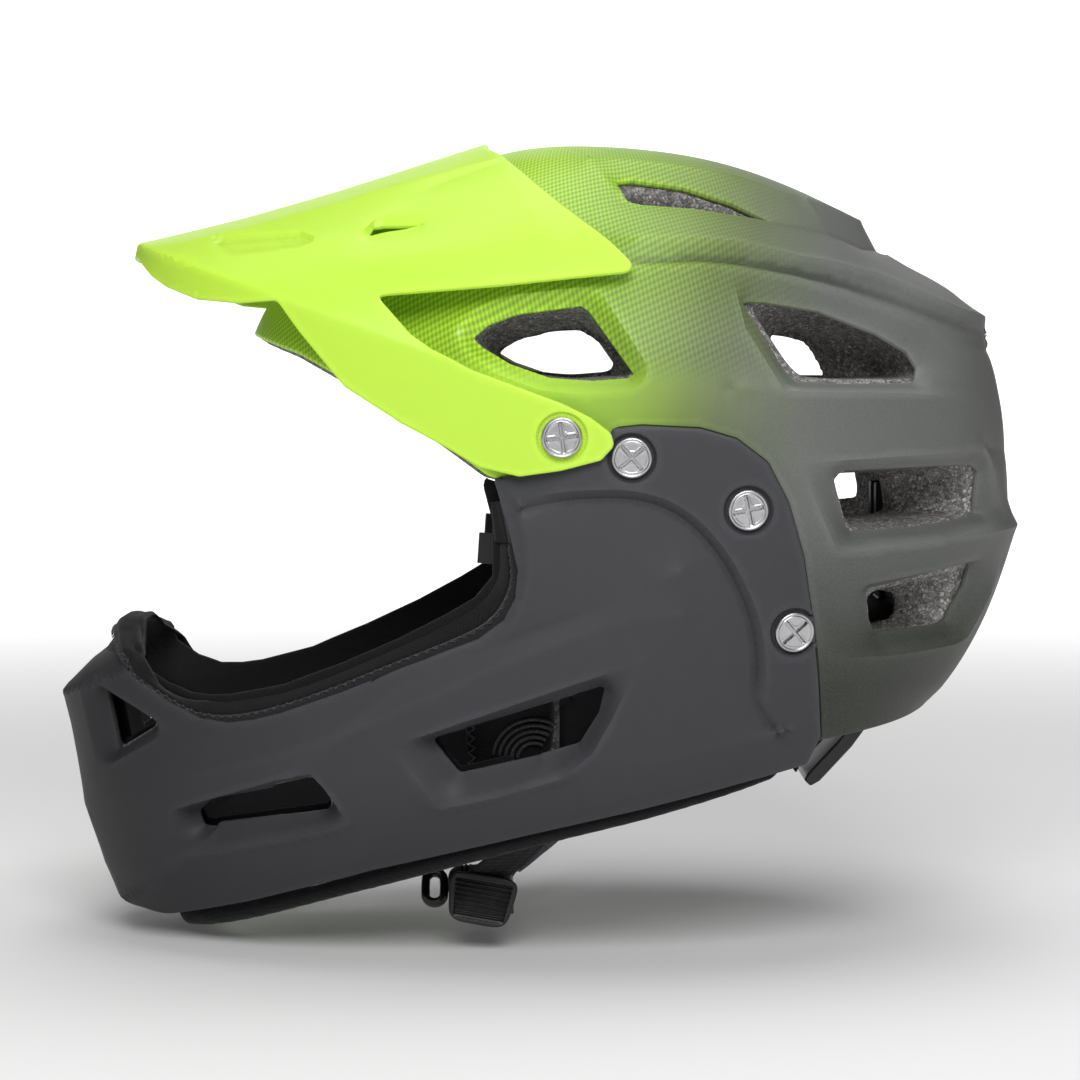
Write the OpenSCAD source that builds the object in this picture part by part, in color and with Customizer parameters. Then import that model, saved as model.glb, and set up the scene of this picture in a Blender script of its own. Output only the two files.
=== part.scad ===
// Full-face trail helmet with a bolt-on chin bar and a tilting peak.
// Front of the helmet faces -X, the wearer's left side is -Y, +Z is up.
// The origin is the centre of the head space.

/* [Shell] */
// Width of the outer shell over the ears
shell_w = 210; // [209:0.5:211]
// Wall of the outer shell
shell_t = 2.6; // [2.2:0.1:2.8]
// Inside width of the foam liner at the temples
head_w = 160; // [158:1:162]

/* [Chin bar] */
// Wall of the chin bar
bar_t = 2.7; // [2.3:0.1:2.7]
// Thickness of the foam inside the chin bar
bar_foam_t = 12; // [10:0.5:13]
// Thickness of the fabric lining behind the foam
lining_t = 4; // [3:0.5:4.5]

/* [Peak] */
// Wall of the peak
peak_t = 2.3; // [2:0.1:2.4]

/* [Fasteners] */
// Diameter of the slotted screw heads
head_d = 14; // [13:0.5:14.5]
// Height of the screw heads
head_h = 2.2; // [1.8:0.1:2.4]
// Diameter of the screw shanks
shank_d = 5; // [4:0.5:5]

/* [Fit system] */
// Diameter of the adjusting dial
dial_d = 30; // [26:1:32]
// Width of the side bands
band_w = 11; // [9:1:12]

/* [Straps] */
// Width of the webbing
web_w = 15; // [12:1:16]
// Thickness of the webbing
web_t = 1.6; // [1.2:0.1:1.8]

/* [Hidden] */

hw = shell_w/2;
// Pitch radius of the pinion: ten teeth of module 1.
pinion_r = 5;
lime = [0.72, 0.96, 0.2];
dark = [0.22, 0.23, 0.22];
barc = [0.27, 0.27, 0.28];
foamc = [0.2, 0.2, 0.2];
fabric = [0.06, 0.06, 0.06];

// Pole of the side view: the widest point of the shell.
pole = [15, 0];
// Side outline of the shell, as angle and radius about the pole.
shell_out = [[-180,166],[-150,180],[-120,190],[-90,170],[-66,148],[-49,135],
  [-43,134.5],[-33,133],[-21,130],[-12,126],[-2,123],[8,121.5],[17,121],
  [28,115],[38,107],[46,104],[60,103.5],[77,105.5],[93,110],[105,116],
  [122,128.5],[139,145.5],[150,155],[160,163],[168,166],[180,166]];
// Fullness of the cross-section at each angle: 2 is an ellipse.
shell_full = [[-180,2.35],[-120,2.8],[-90,2.9],[-66,2.8],[-45,2.5],[0,2.3],
  [45,2.2],[90,2.15],[135,2.2],[180,2.35]];
// Side outline of the chin bar, from the brow round the chin to the nape.
bar_out = [[-150,37],[-190,-60],[-197,-76],[-218,-95],[-215,-107],
  [-209,-137],[-194,-171],[-176,-177],[-140,-192],[-80,-197],[-10,-183],
  [50,-153],[76,-138]];
bar_full = [[-180,2.3],[-160,2.1],[-140,2.1],[-120,2.4],[-90,2.8],[-66,2.8],
  [-45,2.5],[0,2.3],[45,2.2],[90,2.15],[135,2.2],[180,2.3]];
// Side outline of the peak, from the front lip over the top.
peak_out = [[-195,20],[-192,68],[-190,76],[-59,111.5],[-36,114.8],[15,116.5],
  [60,108]];
peak_full = [[-180,2.9],[-90,2.6],[0,2.3],[90,2.3],[120,2.4],[150,2.8],
  [165,2.9],[180,2.9]];
// Head space.
head_pole = [-6, -12];
head_out = [[-180,104],[-135,140],[-90,190],[-45,140],[0,104],[45,97],
  [90,92],[135,97],[180,104]];

function wrap(a) = a - 360*floor((a+180)/360);
function slope(t,i) = let(n=len(t)-1,
    p = i==0 ? [t[n-1][0]-360, t[n-1][1]] : t[i-1],
    q = i==n ? [t[1][0]+360, t[1][1]] : t[i+1]) (q[1]-p[1])/(q[0]-p[0]);
function seg(t,a,i=0) = i >= len(t)-2 || a < t[i+1][0] ? i : seg(t,a,i+1);
// Smooth value at angle a of a table of angle and value.
function curve(t,a0) = let(a=wrap(a0), i=seg(t,a), h=t[i+1][0]-t[i][0],
    s=(a-t[i][0])/h)
  t[i][1]*(2*s^3-3*s^2+1) + slope(t,i)*h*(s^3-2*s^2+s)
  + t[i+1][1]*(3*s^2-2*s^3) + slope(t,i+1)*h*(s^3-s^2);
// Distance from the pole at which a ray at angle a meets an outline.
function ray_hits(p,a) = let(c=cos(a), s=sin(a)) [for (i=[0:len(p)-2])
  let(b=p[i]-pole, e=p[i+1]-p[i], den=c*e[1]-s*e[0])
  if (abs(den) > 1e-9) let(r=(b[0]*e[1]-b[1]*e[0])/den,
    u=abs(e[0])>abs(e[1]) ? (r*c-b[0])/e[0] : (r*s-b[1])/e[1])
  if (r > 0 && u >= -1e-6 && u <= 1+1e-6) r];
function shell_r(a) = curve(shell_out,a);
function bar_r(a) = let(h=ray_hits(bar_out,a))
  len(h) > 0 ? h[0] : shell_r(a)+3;
function peak_r(a) = let(h=ray_hits(peak_out,a))
  len(h) > 0 ? h[0] : wrap(a) < -90 || wrap(a) > 170 ? 210 : shell_r(a)+6;
// Kinds: 0 shell, 1 chin bar, 2 peak, 3 head space.
function rad(k,a) = k==0 ? shell_r(a) : k==1 ? bar_r(a) : k==2 ? peak_r(a)
  : curve(head_out,a);
function full(k,a) = k==0 ? curve(shell_full,a) : k==1 ? curve(bar_full,a)
  : k==2 ? curve(peak_full,a) : 2.2;
function half(k) = k==0 ? hw : k==1 ? hw+3 : k==2 ? hw+6.2 : head_w/2;
// Half width of a form at the point x, z of the side view.
function width_at(k,x,z,d=0) = let(o = k==3 ? head_pole : pole,
    a=atan2(z-o[1],x-o[0]), n=full(k,a),
    t=min(1,norm([x-o[0],z-o[1]])/(rad(k,a)-d)))
  (half(k)-d)*(1-t^n)^(1/n);
// Outward direction of a form on the -Y side.
function dir_at(k,x,z) = let(e=0.5,
    v=[-(width_at(k,x+e,z)-width_at(k,x-e,z))/(2*e), -1,
       -(width_at(k,x,z+e)-width_at(k,x,z-e))/(2*e)]) v/norm(v);

// A closed rounded form with the side outline and fullness of kind k,
// drawn in by d all round.
module form(k, d=0, na=60, m=8) {
  o = k==3 ? head_pole : pole;
  ang = [for (i=[0:na-1]) i*360/na - 180];
  rr = [for (a=ang) rad(k,a)-d];
  nn = [for (a=ang) full(k,a)];
  h = half(k)-d;
  ring = function(side,j) [for (i=[0:na-1]) let(f=90*j/m,
      t=sin(f)^(2/nn[i]), y=cos(f)^(2/nn[i]))
    [o[0]+rr[i]*t*cos(ang[i]), side*h*(j==m ? 0 : y), o[1]+rr[i]*t*sin(ang[i])]];
  pts = concat([[o[0],-h,o[1]]], [for (j=[1:m]) each ring(-1,j)],
    [for (j=[1:m-1]) each ring(1,m-j)], [[o[0],h,o[1]]]);
  last = len(pts)-1;
  rows = 2*m-1;
  faces = concat(
    [for (i=[0:na-1]) [0, 1+(i+1)%na, 1+i]],
    [for (j=[0:rows-2], i=[0:na-1]) let(p=1+j*na+i, q=1+j*na+(i+1)%na)
      each [[p,q,q+na],[p,q+na,p+na]]],
    [for (i=[0:na-1]) let(b=1+(rows-1)*na) [last, b+i, b+(i+1)%na]]);
  polyhedron(pts, faces, convexity=6);
}

// Side-view region, right through in Y.
module side(w=240) rotate([90,0,0]) translate([0,0,-w/2]) linear_extrude(w) children();
// Side-view region on both sides only, from half width a to b.
module both(a,b) for (s=[-1,1]) rotate([90,0,0])
  translate([0,0, s > 0 ? a : -b]) linear_extrude(b-a) children();
module pair() { children(); mirror([0,1,0]) children(); }
// Stands children on the -Y surface of form k, their +Z pointing out.
module stand(k,x,z,lift=0) {
  n = dir_at(k,x,z);
  translate([x,-width_at(k,x,z),z]+n*lift)
    rotate([0,acos(n[2]),atan2(n[1],n[0])]) children();
}
// Opening that runs inwards from outline p at half width a to the smaller
// outline q at half width b.
module funnel(p,q,a,b) pair() hull() {
  rotate([90,0,0]) translate([0,0,a]) linear_extrude(0.2) polygon(p);
  rotate([90,0,0]) translate([0,0,b]) linear_extrude(0.2) polygon(q);
}

// Lower edge of the shell in side view, and everything below it.
rim = [[-160,40],[-143,37],[-124,30],[-105,20],[-87,9],[-72,0],[-56,-11],
  [-35,-17],[-10,-23],[12,-36],[27,-58],[34,-84],[42,-101],[56,-106],
  [61,-103],[76,-101],[100,-98],[150,-92]];
below_rim = concat([[-260,60]], rim, [[260,-80],[260,-260],[-260,-260]]);
below_liner = concat([[-260,58]],
  [for (p=rim) p+(p[0] < -50 ? [-1,-2] : [1,1])],
  [[260,-80],[260,-260],[-260,-260]]);

// Vents of the shell in side view, and their narrower inner ends.
vent_a = [[-63,39],[-57,44],[-47,48],[-24,51],[-21,49],[-5,26],[-7,24],
  [-20,23],[-35,24],[-49,29],[-59,35]];
vent_a_in = [[-52,36],[-46,41],[-28,44],[-21,42],[-12,31],[-30,29],[-46,31]];
vent_b = [[31,52],[40,52],[60,49],[81,42],[94,35],[98,29],[97,23],[70,23],
  [51,24],[47,28],[38,42]];
vent_b_in = [[42,42],[56,43],[68,40],[72,34],[70,30],[52,30],[48,33]];
vent_c = [[63,-9],[69,-7],[117,-6],[122,-9],[123,-26],[95,-29],[71,-30],[69,-27]];
vent_c_in = [[62,-14],[76,-14],[78,-24],[66,-25]];
vent_d = [[77,-50],[121,-42],[119,-53],[112,-66],[109,-67],[82,-68],[79,-62]];
vent_d_in = [[74,-54],[84,-54],[84,-64],[77,-64]];
// Slots over the crown, in plan, on one side.
vent_e = [[-14,56],[-2,58],[20,59],[44,53],[33,63],[-3,69],[-9,67]];

// Slot over the crown, as a slanted prism that points at the head.
module crown_slots() pair() hull() {
  translate([0,0,101]) mirror([0,1,0]) linear_extrude(0.2) polygon([for (p=vent_e) p*1.02+[0,3]]);
  translate([0,0,58]) mirror([0,1,0]) linear_extrude(0.2) polygon([for (p=vent_e) [p[0]*0.7,p[1]*0.8]]);
}
module shell_vents() {
  both(50,112) polygon(vent_a);
  both(40,110) polygon(vent_b);
  both(30,112) polygon(vent_c);
  both(30,110) polygon(vent_d);
  crown_slots();
}
// In the foam the vents are pockets whose floors have smaller openings.
module liner_vents() {
  funnel(vent_a,vent_a_in,108,58);
  both(40,110) polygon(vent_b_in);
  both(40,110) polygon(vent_c_in);
  both(40,110) polygon(vent_d_in);
  difference() {
    union() { both(40,110) polygon(vent_b); both(30,112) polygon(vent_c); both(30,110) polygon(vent_d); }
    form(0, d=20, na=48, m=7);
  }
  crown_slots();
}

// Ribs and ledges that stand on the shell.
module shell_ribs() {
  // centre crest over the crown, and its rear lip
  hull() for (p=[[-10,105.5,7],[40,99,8],[78,80,9],[84,72.5,8]])
    translate([p[0],0,p[1]]) rotate([90,0,0]) cylinder(r=3.6, h=2*p[2]*2.2, center=true, $fn=16);
  pair() {
    // upper side rib that runs back to the second lip
    hull() { translate([20,-74,78]) sphere(r=3, $fn=12); translate([70,-61,65]) sphere(r=3, $fn=12);
      translate([60,-50,72]) sphere(r=3, $fn=12); }
    hull() { translate([70,-61,65]) sphere(r=3, $fn=12); translate([115,-40,45]) sphere(r=3, $fn=12);
      translate([122,-20,42]) sphere(r=3, $fn=12); translate([60,-50,72]) sphere(r=3, $fn=12); }
    // ledge between the two rear vents
    hull() { translate([70,-92,-39]) sphere(r=2.6, $fn=12); translate([126,-44,-33]) sphere(r=2.6, $fn=12);
      translate([138,-14,-30]) sphere(r=2.6, $fn=12); translate([122,-20,-40]) sphere(r=2.6, $fn=12); }
  }
  hull() for (s=[-1,1]) { translate([138,s*14,-30]) sphere(r=2.6, $fn=12);
    translate([122,s*20,-40]) sphere(r=2.6, $fn=12); }
  hull() for (s=[-1,1]) { translate([122,s*20,42]) sphere(r=3, $fn=12);
    translate([112,s*20,40]) sphere(r=3, $fn=12); }
}

pivot = [-30.5, 4];
bar_screws = [[-6.5,-3],[33.5,-21],[50,-63.5]];

module outer_shell() color(dark) resize([0,shell_w,0]) difference() {
  union() { form(0); shell_ribs(); }
  form(0, d=shell_t);
  side() polygon(below_rim);
  shell_vents();
  pair() for (s=bar_screws) stand(1,s[0],s[1],-12) cylinder(r=3.4, h=14, $fn=24);
  pair() translate([pivot[0],-90,pivot[1]]) rotate([90,0,0]) cylinder(r=3.2, h=30, $fn=24);
}

module cradle_pocket() translate([70,-50,-130]) cube([40,100,80]);

module eps_liner() color(foamc) resize([0,shell_w-2*(shell_t+0.3),0]) difference() {
  form(0, d=shell_t+0.3);
  form(3, na=48, m=7);
  side() polygon(below_liner);
  liner_vents();
  cradle_pocket();
  pair() for (p=anchor_at) translate(p+[-10.3,-1.9,-2.3]) cube([20.6,6,12.6]);
  for (z=[-43,-23]) translate([94,0,z]) rotate([0,90,0]) cylinder(r=2.2, h=14, $fn=24);
  pair() for (s=bar_screws) stand(1,s[0],s[1],-16) cylinder(r=5.4, h=16, $fn=24);
  pair() translate([pivot[0],-86,pivot[1]]) rotate([90,0,0]) cylinder(r=5.4, h=30, $fn=24);
}

// Padding against the head: the space between two drawn-in head forms.
module pad_layer(a,b,na=48,m=7) difference() { form(3,d=a,na=na,m=m); form(3,d=b,na=na,m=m); }

module brow_pad() color(fabric) resize([0,110,0]) intersection() {
  pad_layer(0.4,7);
  translate([-120,-55,22]) cube([60,110,17]);
}
module crown_pads() color(fabric) resize([0,102,0]) intersection() {
  pad_layer(0.9,6.4,na=36,m=6);
  union() {
    translate([-60,-7,50]) cube([110,14,50]);
    hull() for (x=[-44,-22]) translate([x,0,0]) cube([12,1,180], center=true);
    for (x=[-52,34]) for (s=[-1,1]) translate([x-7, s*36-15, 40]) cube([14,30,50]);
  }
}

// Side outline of the chin bar's plate and guard.
bar_edge = [[-215,-70],[-192,-73],[-179,-83],[-173,-88],[-158,-96],[-147,-98.5],
  [-130,-95],[-108,-87],[-87,-78],[-59,-67],[-50,-60],[-46,-52],[-45,-42],
  [-48,-28],[-53,-11],[-45,-10],[-31,-7],[-18,-3],[-13,1],[-12.5,6],
  [-3,7],[17,6],[29,2.5],[39.5,-5.5],[46.5,-19],[52,-38],[55.5,-60],
  [58,-81],[60,-102],[56,-113],[18,-123],[-52,-141],[-99,-154],[-144,-166],
  [-176,-172],[-200,-174],[-235,-150]];
// Outline of the lining, which stands above the guard's rim.
lining_edge = [[-215,-64],[-188,-67],[-176,-77],[-170,-82],[-157,-90],
  [-147,-92.5],[-130,-89.5],[-108,-81],[-87,-72],[-62,-61.5],[-54,-54],
  [-51,-44],[-53,-26],[-57,-11],[-49,-13],[-44,-30],[-41,-60],[-48,-110],
  [-60,-141],[-99,-152],[-144,-164],[-176,-170],[-200,-172],[-235,-150]];
foam_edge = [[-215,-72],[-191,-76],[-172,-91],[-147,-101.5],[-130,-98],
  [-87,-81],[-59,-70],[-46,-60],[-41,-50],[-30,-70],[-30,-130],[-52,-138],
  [-99,-151],[-144,-163],[-176,-169],[-200,-171],[-235,-148]];
vent_f = [[-78,-103],[-17,-83],[-15,-84],[-17,-93],[-24,-105],[-36,-109],
  [-66,-117],[-68,-116]];
vent_g = [[-165,-134],[-158,-128],[-119,-118],[-115,-120],[-112,-129],
  [-115,-132],[-155,-140],[-163,-140]];
vent_h = [[-194,-93],[-179,-101],[-191,-111]];

module bar_vents(a,b) { both(a,b) { polygon(vent_f); polygon(vent_g); } both(20,b) polygon(vent_h); }
// The part of the shell and liner that the chin bar has to fit round.
module shell_block(d) difference() { form(0, d=d);
  side() translate([0,-2.8]) polygon(below_rim); }

module chin_bar_shell() color(barc) resize([0,shell_w+6,0]) difference() {
  intersection() { form(1); side() polygon(bar_edge); }
  form(1, d=bar_t);
  form(0, d=-0.35);
  bar_vents(40,120);
  pair() for (s=bar_screws) { stand(1,s[0],s[1],-6) cylinder(r=2.9, h=12, $fn=24);
    stand(1,s[0],s[1],-0.9) cylinder(r=head_d/2+0.4, h=6, $fn=40); }
}
module chin_bar_foam() color(foamc) resize([0,shell_w-8,0]) difference() {
  intersection() { form(1, d=bar_t+0.3); side() polygon(foam_edge); }
  form(1, d=bar_t+bar_foam_t);
  bar_vents(30,120);
}
module chin_bar_lining() color(fabric) resize([0,shell_w-31,0]) difference() {
  intersection() { form(1, d=bar_t+bar_foam_t+0.3); side() polygon(lining_edge); }
  form(1, d=bar_t+bar_foam_t+0.3+lining_t);
  shell_block(-1);
  bar_vents(30,120);
}
// Soft roll under the lower edge of the chin bar.
low_line = [[54,-110],[18,-120],[-52,-138],[-99,-151],[-144,-163],[-176,-169]];
module lower_pad() difference() {
  intersection() { form(1, d=bar_t+0.5);
    rotate([90,0,0]) linear_extrude(120) polygon([[52,-112],[18,-122],[-52,-140.5],
      [-99,-153],[-144,-165.5],[-174,-171],[-176,-176],[-144,-171],[-99,-159],
      [-52,-146],[18,-128],[51,-117]]); }
  form(1, d=bar_t+8.5, na=60, m=8);
  translate([-240,-26,-200]) cube([400,60,100]);
}
module lower_pad_left() color(fabric) resize([221,0,0]) lower_pad();
module lower_pad_right() color(fabric) resize([221,0,0]) mirror([0,1,0]) lower_pad();

module cheek_pad() intersection() {
  difference() { form(1, d=22, na=48, m=8); form(1, d=38, na=48, m=8); }
  rotate([90,0,0]) linear_extrude(120) polygon([[-66,-80],[-52,-76],[-20,-72],
    [-14,-76],[-14,-108],[-20,-113],[-50,-122],[-64,-118]]);
}
module cheek_pad_left() color(fabric) resize([0,0,50]) cheek_pad();
module cheek_pad_right() color(fabric) resize([0,0,50]) mirror([0,1,0]) cheek_pad();

// A screw whose head rests at z = 0 and whose shank runs down to -len.
module screw(len) difference() {
  union() {
    cylinder(d=head_d, h=head_h-0.5, $fn=64);
    translate([0,0,head_h-0.5]) cylinder(d1=head_d, d2=head_d-1, h=0.5, $fn=64);
    translate([0,0,-len]) cylinder(d=shank_d, h=len+0.1, $fn=48);
  }
  for (a=[45,135]) rotate([0,0,a]) translate([-head_d*0.4,-0.8,head_h-1.2])
    cube([head_d*0.8,1.6,2]);
}
module insert(r) difference() {
  cylinder(r=r, h=8, $fn=48);
  translate([0,0,-1]) cylinder(d=shank_d+0.1, h=12, $fn=48);
}
module chin_bar_screws() color("silver") pair() for (s=bar_screws)
  stand(1,s[0],s[1],-0.85) screw(10);
module chin_bar_inserts() color([0.7,0.6,0.3]) pair() for (s=bar_screws)
  stand(1,s[0],s[1],-bar_t-shell_t-9.4) insert(5);
pivot_y = hw+5;
module visor_screws() color("silver") pair() translate([pivot[0],-pivot_y-0.35,pivot[1]])
  rotate([90,0,0]) screw(15);
module visor_inserts() color([0.7,0.6,0.3]) pair()
  translate([pivot[0],-width_at(0,pivot[0],pivot[1])+shell_t+8.8,pivot[1]]) rotate([90,0,0]) insert(5);
module visor_washers() color([0.1,0.1,0.1]) pair()
  translate([pivot[0],-hw-2.7,pivot[1]]) rotate([-90,0,0]) difference() {
    cylinder(r=8, h=3, $fn=48);
    translate([0,0,-1]) cylinder(d=shank_d+0.4, h=12, $fn=48); }

// Side outline of the peak with its arms.
peak_edge = [[-230,60],[-184,68],[-177,61],[-171,57],[-159,52.5],[-143,51],
  [-129,52],[-121,41],[-105,22],[-86,10],[-72,2.5],[-58.5,-5.5],[-45,-8.5],
  [-31,-6.5],[-17.5,-3],[-13.5,1.5],[-14.5,5],[-21,10],[-31,15],[-62,26.5],
  [-76,34],[-83,39],[-96,53.5],[-52,57],[-5,62],[-14,71],[-31,84.5],[-45,97],
  [-58,107],[-60,125],[-230,125]];
module visor() color(lime) resize([0,0,119.8]) difference() {
  intersection() { form(2); side(260) polygon(peak_edge); }
  form(2, d=peak_t);
  // the peak's path over the shell
  for (a=[-3,0,3,6,9]) translate([pivot[0],0,pivot[1]]) rotate([0,-a,0])
    translate([-pivot[0],0,-pivot[1]]) form(0, d=-0.6, na=48, m=7);
  both(55,100) polygon([[-99,75],[-95,79],[-81,78.5]]);
  pair() translate([pivot[0],0,pivot[1]]) rotate([90,0,0]) {
    cylinder(r=shank_d/2+0.4, h=130, $fn=32);
    translate([0,0,pivot_y]) cylinder(r=head_d/2+0.5, h=20, $fn=40);
  }
}

// Fit system at the nape: a frame that slides up and down in a track.
cx = 91.5;
cz = -75;
module cradle_track() color([0.12,0.12,0.12]) difference() {
  translate([88.4,-12,-50]) cube([8.6,24,34]);
  translate([90.2,-8.1,-60]) cube([2.6,16.2,50]);
  translate([86,-5,-60]) cube([6,10,50]);
  for (z=[-43,-23]) translate([80,0,z]) rotate([0,90,0]) cylinder(r=2.05, h=30, $fn=32);
}
module track_pins() color([0.15,0.15,0.15]) for (z=[-43,-23]) translate([93.4,0,z]) rotate([0,90,0]) {
  cylinder(r=2, h=14, $fn=32);
  translate([0,0,0]) cylinder(r=2, h=1, $fn=32);
}
module cradle_frame() color([0.32,0.35,0.31]) difference() {
  union() {
    translate([86.5,-30,-90]) cube([10,60,30]);
    translate([90.25,-8,-62]) cube([2.5,16,38]);
    rotate([90,0,0]) translate([0,0,-22]) linear_extrude(44)
      polygon([[89,-88],[84,-99],[75,-111],[63,-124],[61,-127],[63.5,-129.5],
        [67,-127.5],[79,-114.5],[88,-102],[94,-89]]);
  }
  translate([89,-31,-86.4]) cube([5,62,22.8]);
  translate([80,0,cz]) rotate([0,90,0]) cylinder(r=4.05, h=30, $fn=48);
}
module cradle_pad() color(fabric) rotate([90,0,0]) translate([0,0,-20]) linear_extrude(40)
  polygon([[85.6,-87],[80.6,-97],[71.5,-109],[60,-121.5],[58.2,-126],[56.5,-121],
    [68.5,-107],[77.5,-95],[82.5,-86]]);
module dial_pinion() color([0.6,0.6,0.58]) translate([0,0,cz]) rotate([0,90,0]) {
  translate([0,0,85]) cylinder(r=4, h=17.6, $fn=48);
  translate([0,0,89.4]) linear_extrude(4.2) union() {
    circle(r=3.9, $fn=48);
    for (i=[0:9]) rotate(i*36) polygon([[3,-1.1],[3,1.1],[pinion_r+0.8,0.35],[pinion_r+0.8,-0.35]]);
  }
}
module dial_knob() color([0.1,0.1,0.1]) translate([97.2,0,cz]) rotate([0,90,0]) difference() {
  cylinder(d=dial_d, h=7, $fn=64);
  for (i=[0:11]) rotate([0,0,i*30]) translate([dial_d/2+1.6,0,-1]) cylinder(r=3, h=12, $fn=24);
  translate([0,0,-1]) cylinder(r=4.02, h=6.5, $fn=48);
}
// A flat strip through the points p, its width along the directions w.
module ribbon(p,w,wid,th) {
  n = len(p);
  unit = function(v) v/norm(v);
  tan = [for (i=[0:n-1]) unit(p[min(n-1,i+1)]-p[max(0,i-1)])];
  wd = [for (i=[0:n-1]) unit(w[i]-tan[i]*(w[i]*tan[i]))];
  th_d = [for (i=[0:n-1]) cross(tan[i],wd[i])];
  pts = [for (i=[0:n-1]) each [p[i]-wd[i]*wid/2-th_d[i]*th/2, p[i]+wd[i]*wid/2-th_d[i]*th/2,
    p[i]+wd[i]*wid/2+th_d[i]*th/2, p[i]-wd[i]*wid/2+th_d[i]*th/2]];
  e = 4*n-4;
  faces = concat([[0,1,2],[0,2,3],[e+3,e+2,e+1],[e+3,e+1,e]],
    [for (i=[0:n-2], k=[0:3]) let(a=4*i+k, b=4*i+(k+1)%4) each [[a,a+4,b+4],[a,b+4,b]]]);
  polyhedron(pts, faces, convexity=4);
}
band_pts = [[91.5,-36,-65],[90,-39,-64.5],[85,-42,-63],[78,-45,-61],[66,-52,-58],
  [52,-58,-55],[40,-63,-52],[20,-67,-48],[5,-69,-45],[-12,-69,-42],
  [-30,-68,-40],[-46,-65,-38],[-60,-61,-37]];
// Toothed bar from y0 to y1 above (up = 1) or below (up = -1) the pinion.
module rack(y0,y1,up,teeth) translate([89.4,0,0]) rotate([90,0,90]) linear_extrude(4.2)
  polygon([for (p=concat([[y0,10.6],[y0,6.2]],
    [for (i=teeth) let(c=(i+0.5)*PI) each [[c-0.95,6.2],[c-0.3,4.2],[c+0.3,4.2],[c+0.95,6.2]]],
    [[y1,6.2],[y1,10.6]])) [p[0], cz+up*p[1]]]);
module band() ribbon(band_pts, [for (p=band_pts) [0,0,1]], band_w, 1.6);
module head_band_left() color([0.12,0.12,0.12]) { band(); rack(-38,16,1,[-5:4]); }
module head_band_right() color([0.12,0.12,0.12]) {
  mirror([0,1,0]) band();
  rack(-16,38,-1,[-5:4]);
  translate([90.5,35.4,-83]) cube([2,2.2,20]);
}

// Webbing, anchored in the liner and joined below the ears.
front_web = [[-22,-77.2,-2],[-20,-77.4,-12],[-14,-77.8,-34],[-5,-78,-58],[2,-77.2,-80],[8,-75.2,-97]];
rear_web = [[35,-71.7,-16],[33,-72.9,-32],[28,-73.9,-52],[21,-74.3,-72],[13.5,-73.3,-91],[11,-72.9,-97]];
chin_web = [[9,-73,-104],[2,-71,-115],[-10,-67,-126],[-25,-61,-138],[-40,-54.5,-149],[-52,-50,-156.5],[-59,-46.5,-159.8]];
far_web = [[9,73,-104],[2,71,-115],[-11,66,-128],[-24,59,-140],[-37,49,-152],[-48,37,-162],[-55,24,-170],[-59,10,-175],[-60,-2,-176.5],[-60,-14,-174.8]];
module front_webbing() ribbon(front_web, [for (p=front_web) [1,0.02,0.3]], web_w, web_t);
module rear_webbing() ribbon(rear_web, [for (p=rear_web) [1,0.02,-0.3]], web_w, web_t);
module front_webbing_left() color(fabric) front_webbing();
module front_webbing_right() color(fabric) mirror([0,1,0]) front_webbing();
module rear_webbing_left() color(fabric) rear_webbing();
module rear_webbing_right() color(fabric) mirror([0,1,0]) rear_webbing();
module strap_divider() translate([10,-74,-101]) rotate([-8,0,0]) difference() {
  translate([-14,-4.2,-5]) cube([28,8.4,9]);
  translate([-11.5,-3,-6]) cube([23,6,11]);
}
module strap_divider_left() color([0.1,0.1,0.1]) strap_divider();
module strap_divider_right() color([0.1,0.1,0.1]) mirror([0,1,0]) strap_divider();
anchor_at = [[-22,-80,2],[35,-75.4,-12]];
module strap_anchors() color([0.1,0.1,0.1]) pair() for (p=anchor_at)
  translate(p) difference() { translate([-10,-1.6,-2]) cube([20,3.2,12]);
    translate([-8,-3,1]) cube([16,6,3]); }
module chin_strap_left() color(fabric) ribbon(chin_web,
  [for (i=[0:len(chin_web)-1]) let(s=i/(len(chin_web)-1)) [1,0.1*s,0.75-0.6*s]], web_w, web_t);
module chin_strap_right() color(fabric) ribbon(far_web,
  [for (i=[0:len(far_web)-1]) let(s=min(1,i/5)) [1,-0.1*s,0.75-0.75*s]], web_w, web_t);
module chin_strap_pad() color([0.3,0.31,0.32]) {
  q = [[-20,-60,-132],[-32,-54.5,-141.5],[-42,-50.5,-148.5],[-50,-47.5,-153.5]];
  ribbon(q, [for (p=q) [1,0,0.35]], 21, 2.6);
}
// Side-release buckle under the chin.
buckle_at = [-60,-33,-166];
module at_buckle() translate(buckle_at) rotate([-25,0,0]) children();
module buckle_socket() color([0.08,0.08,0.08]) at_buckle() difference() {
  union() {
    translate([-12,-16,-4.5]) cube([24,28,9]);
    for (i=[-4:4]) translate([i*2.4-0.5,-13,-5.2]) cube([1,22,1.2]);
  }
  translate([-9.6,-9,-2.6]) cube([19.2,22,5.2]);
  translate([-8.5,-17,-1.2]) cube([17,5,2.4]);
}
module buckle_plug() color([0.08,0.08,0.08]) at_buckle() {
  difference() { translate([-12,12.4,-4]) cube([24,11,8]);
    translate([-8.5,15,-1.9]) cube([17,10,3.8]); }
  for (s=[-1,1]) translate([s*7-1.9,-6,-2]) cube([3.8,19,4]);
  translate([-1.5,-4,-1.4]) cube([3,17,2.8]);
}
module strap_keeper() color([0.05,0.05,0.05]) translate([-77,-37,-165]) rotate([60,0,0]) difference() {
    hull() for (y=[-2.5,2.5]) translate([0,y,0]) cylinder(r=4.3, h=3.4, center=true, $fn=32);
    hull() for (y=[-2.5,2.5]) translate([0,y,0]) cylinder(r=2.6, h=8, center=true, $fn=32);
  }

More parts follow.
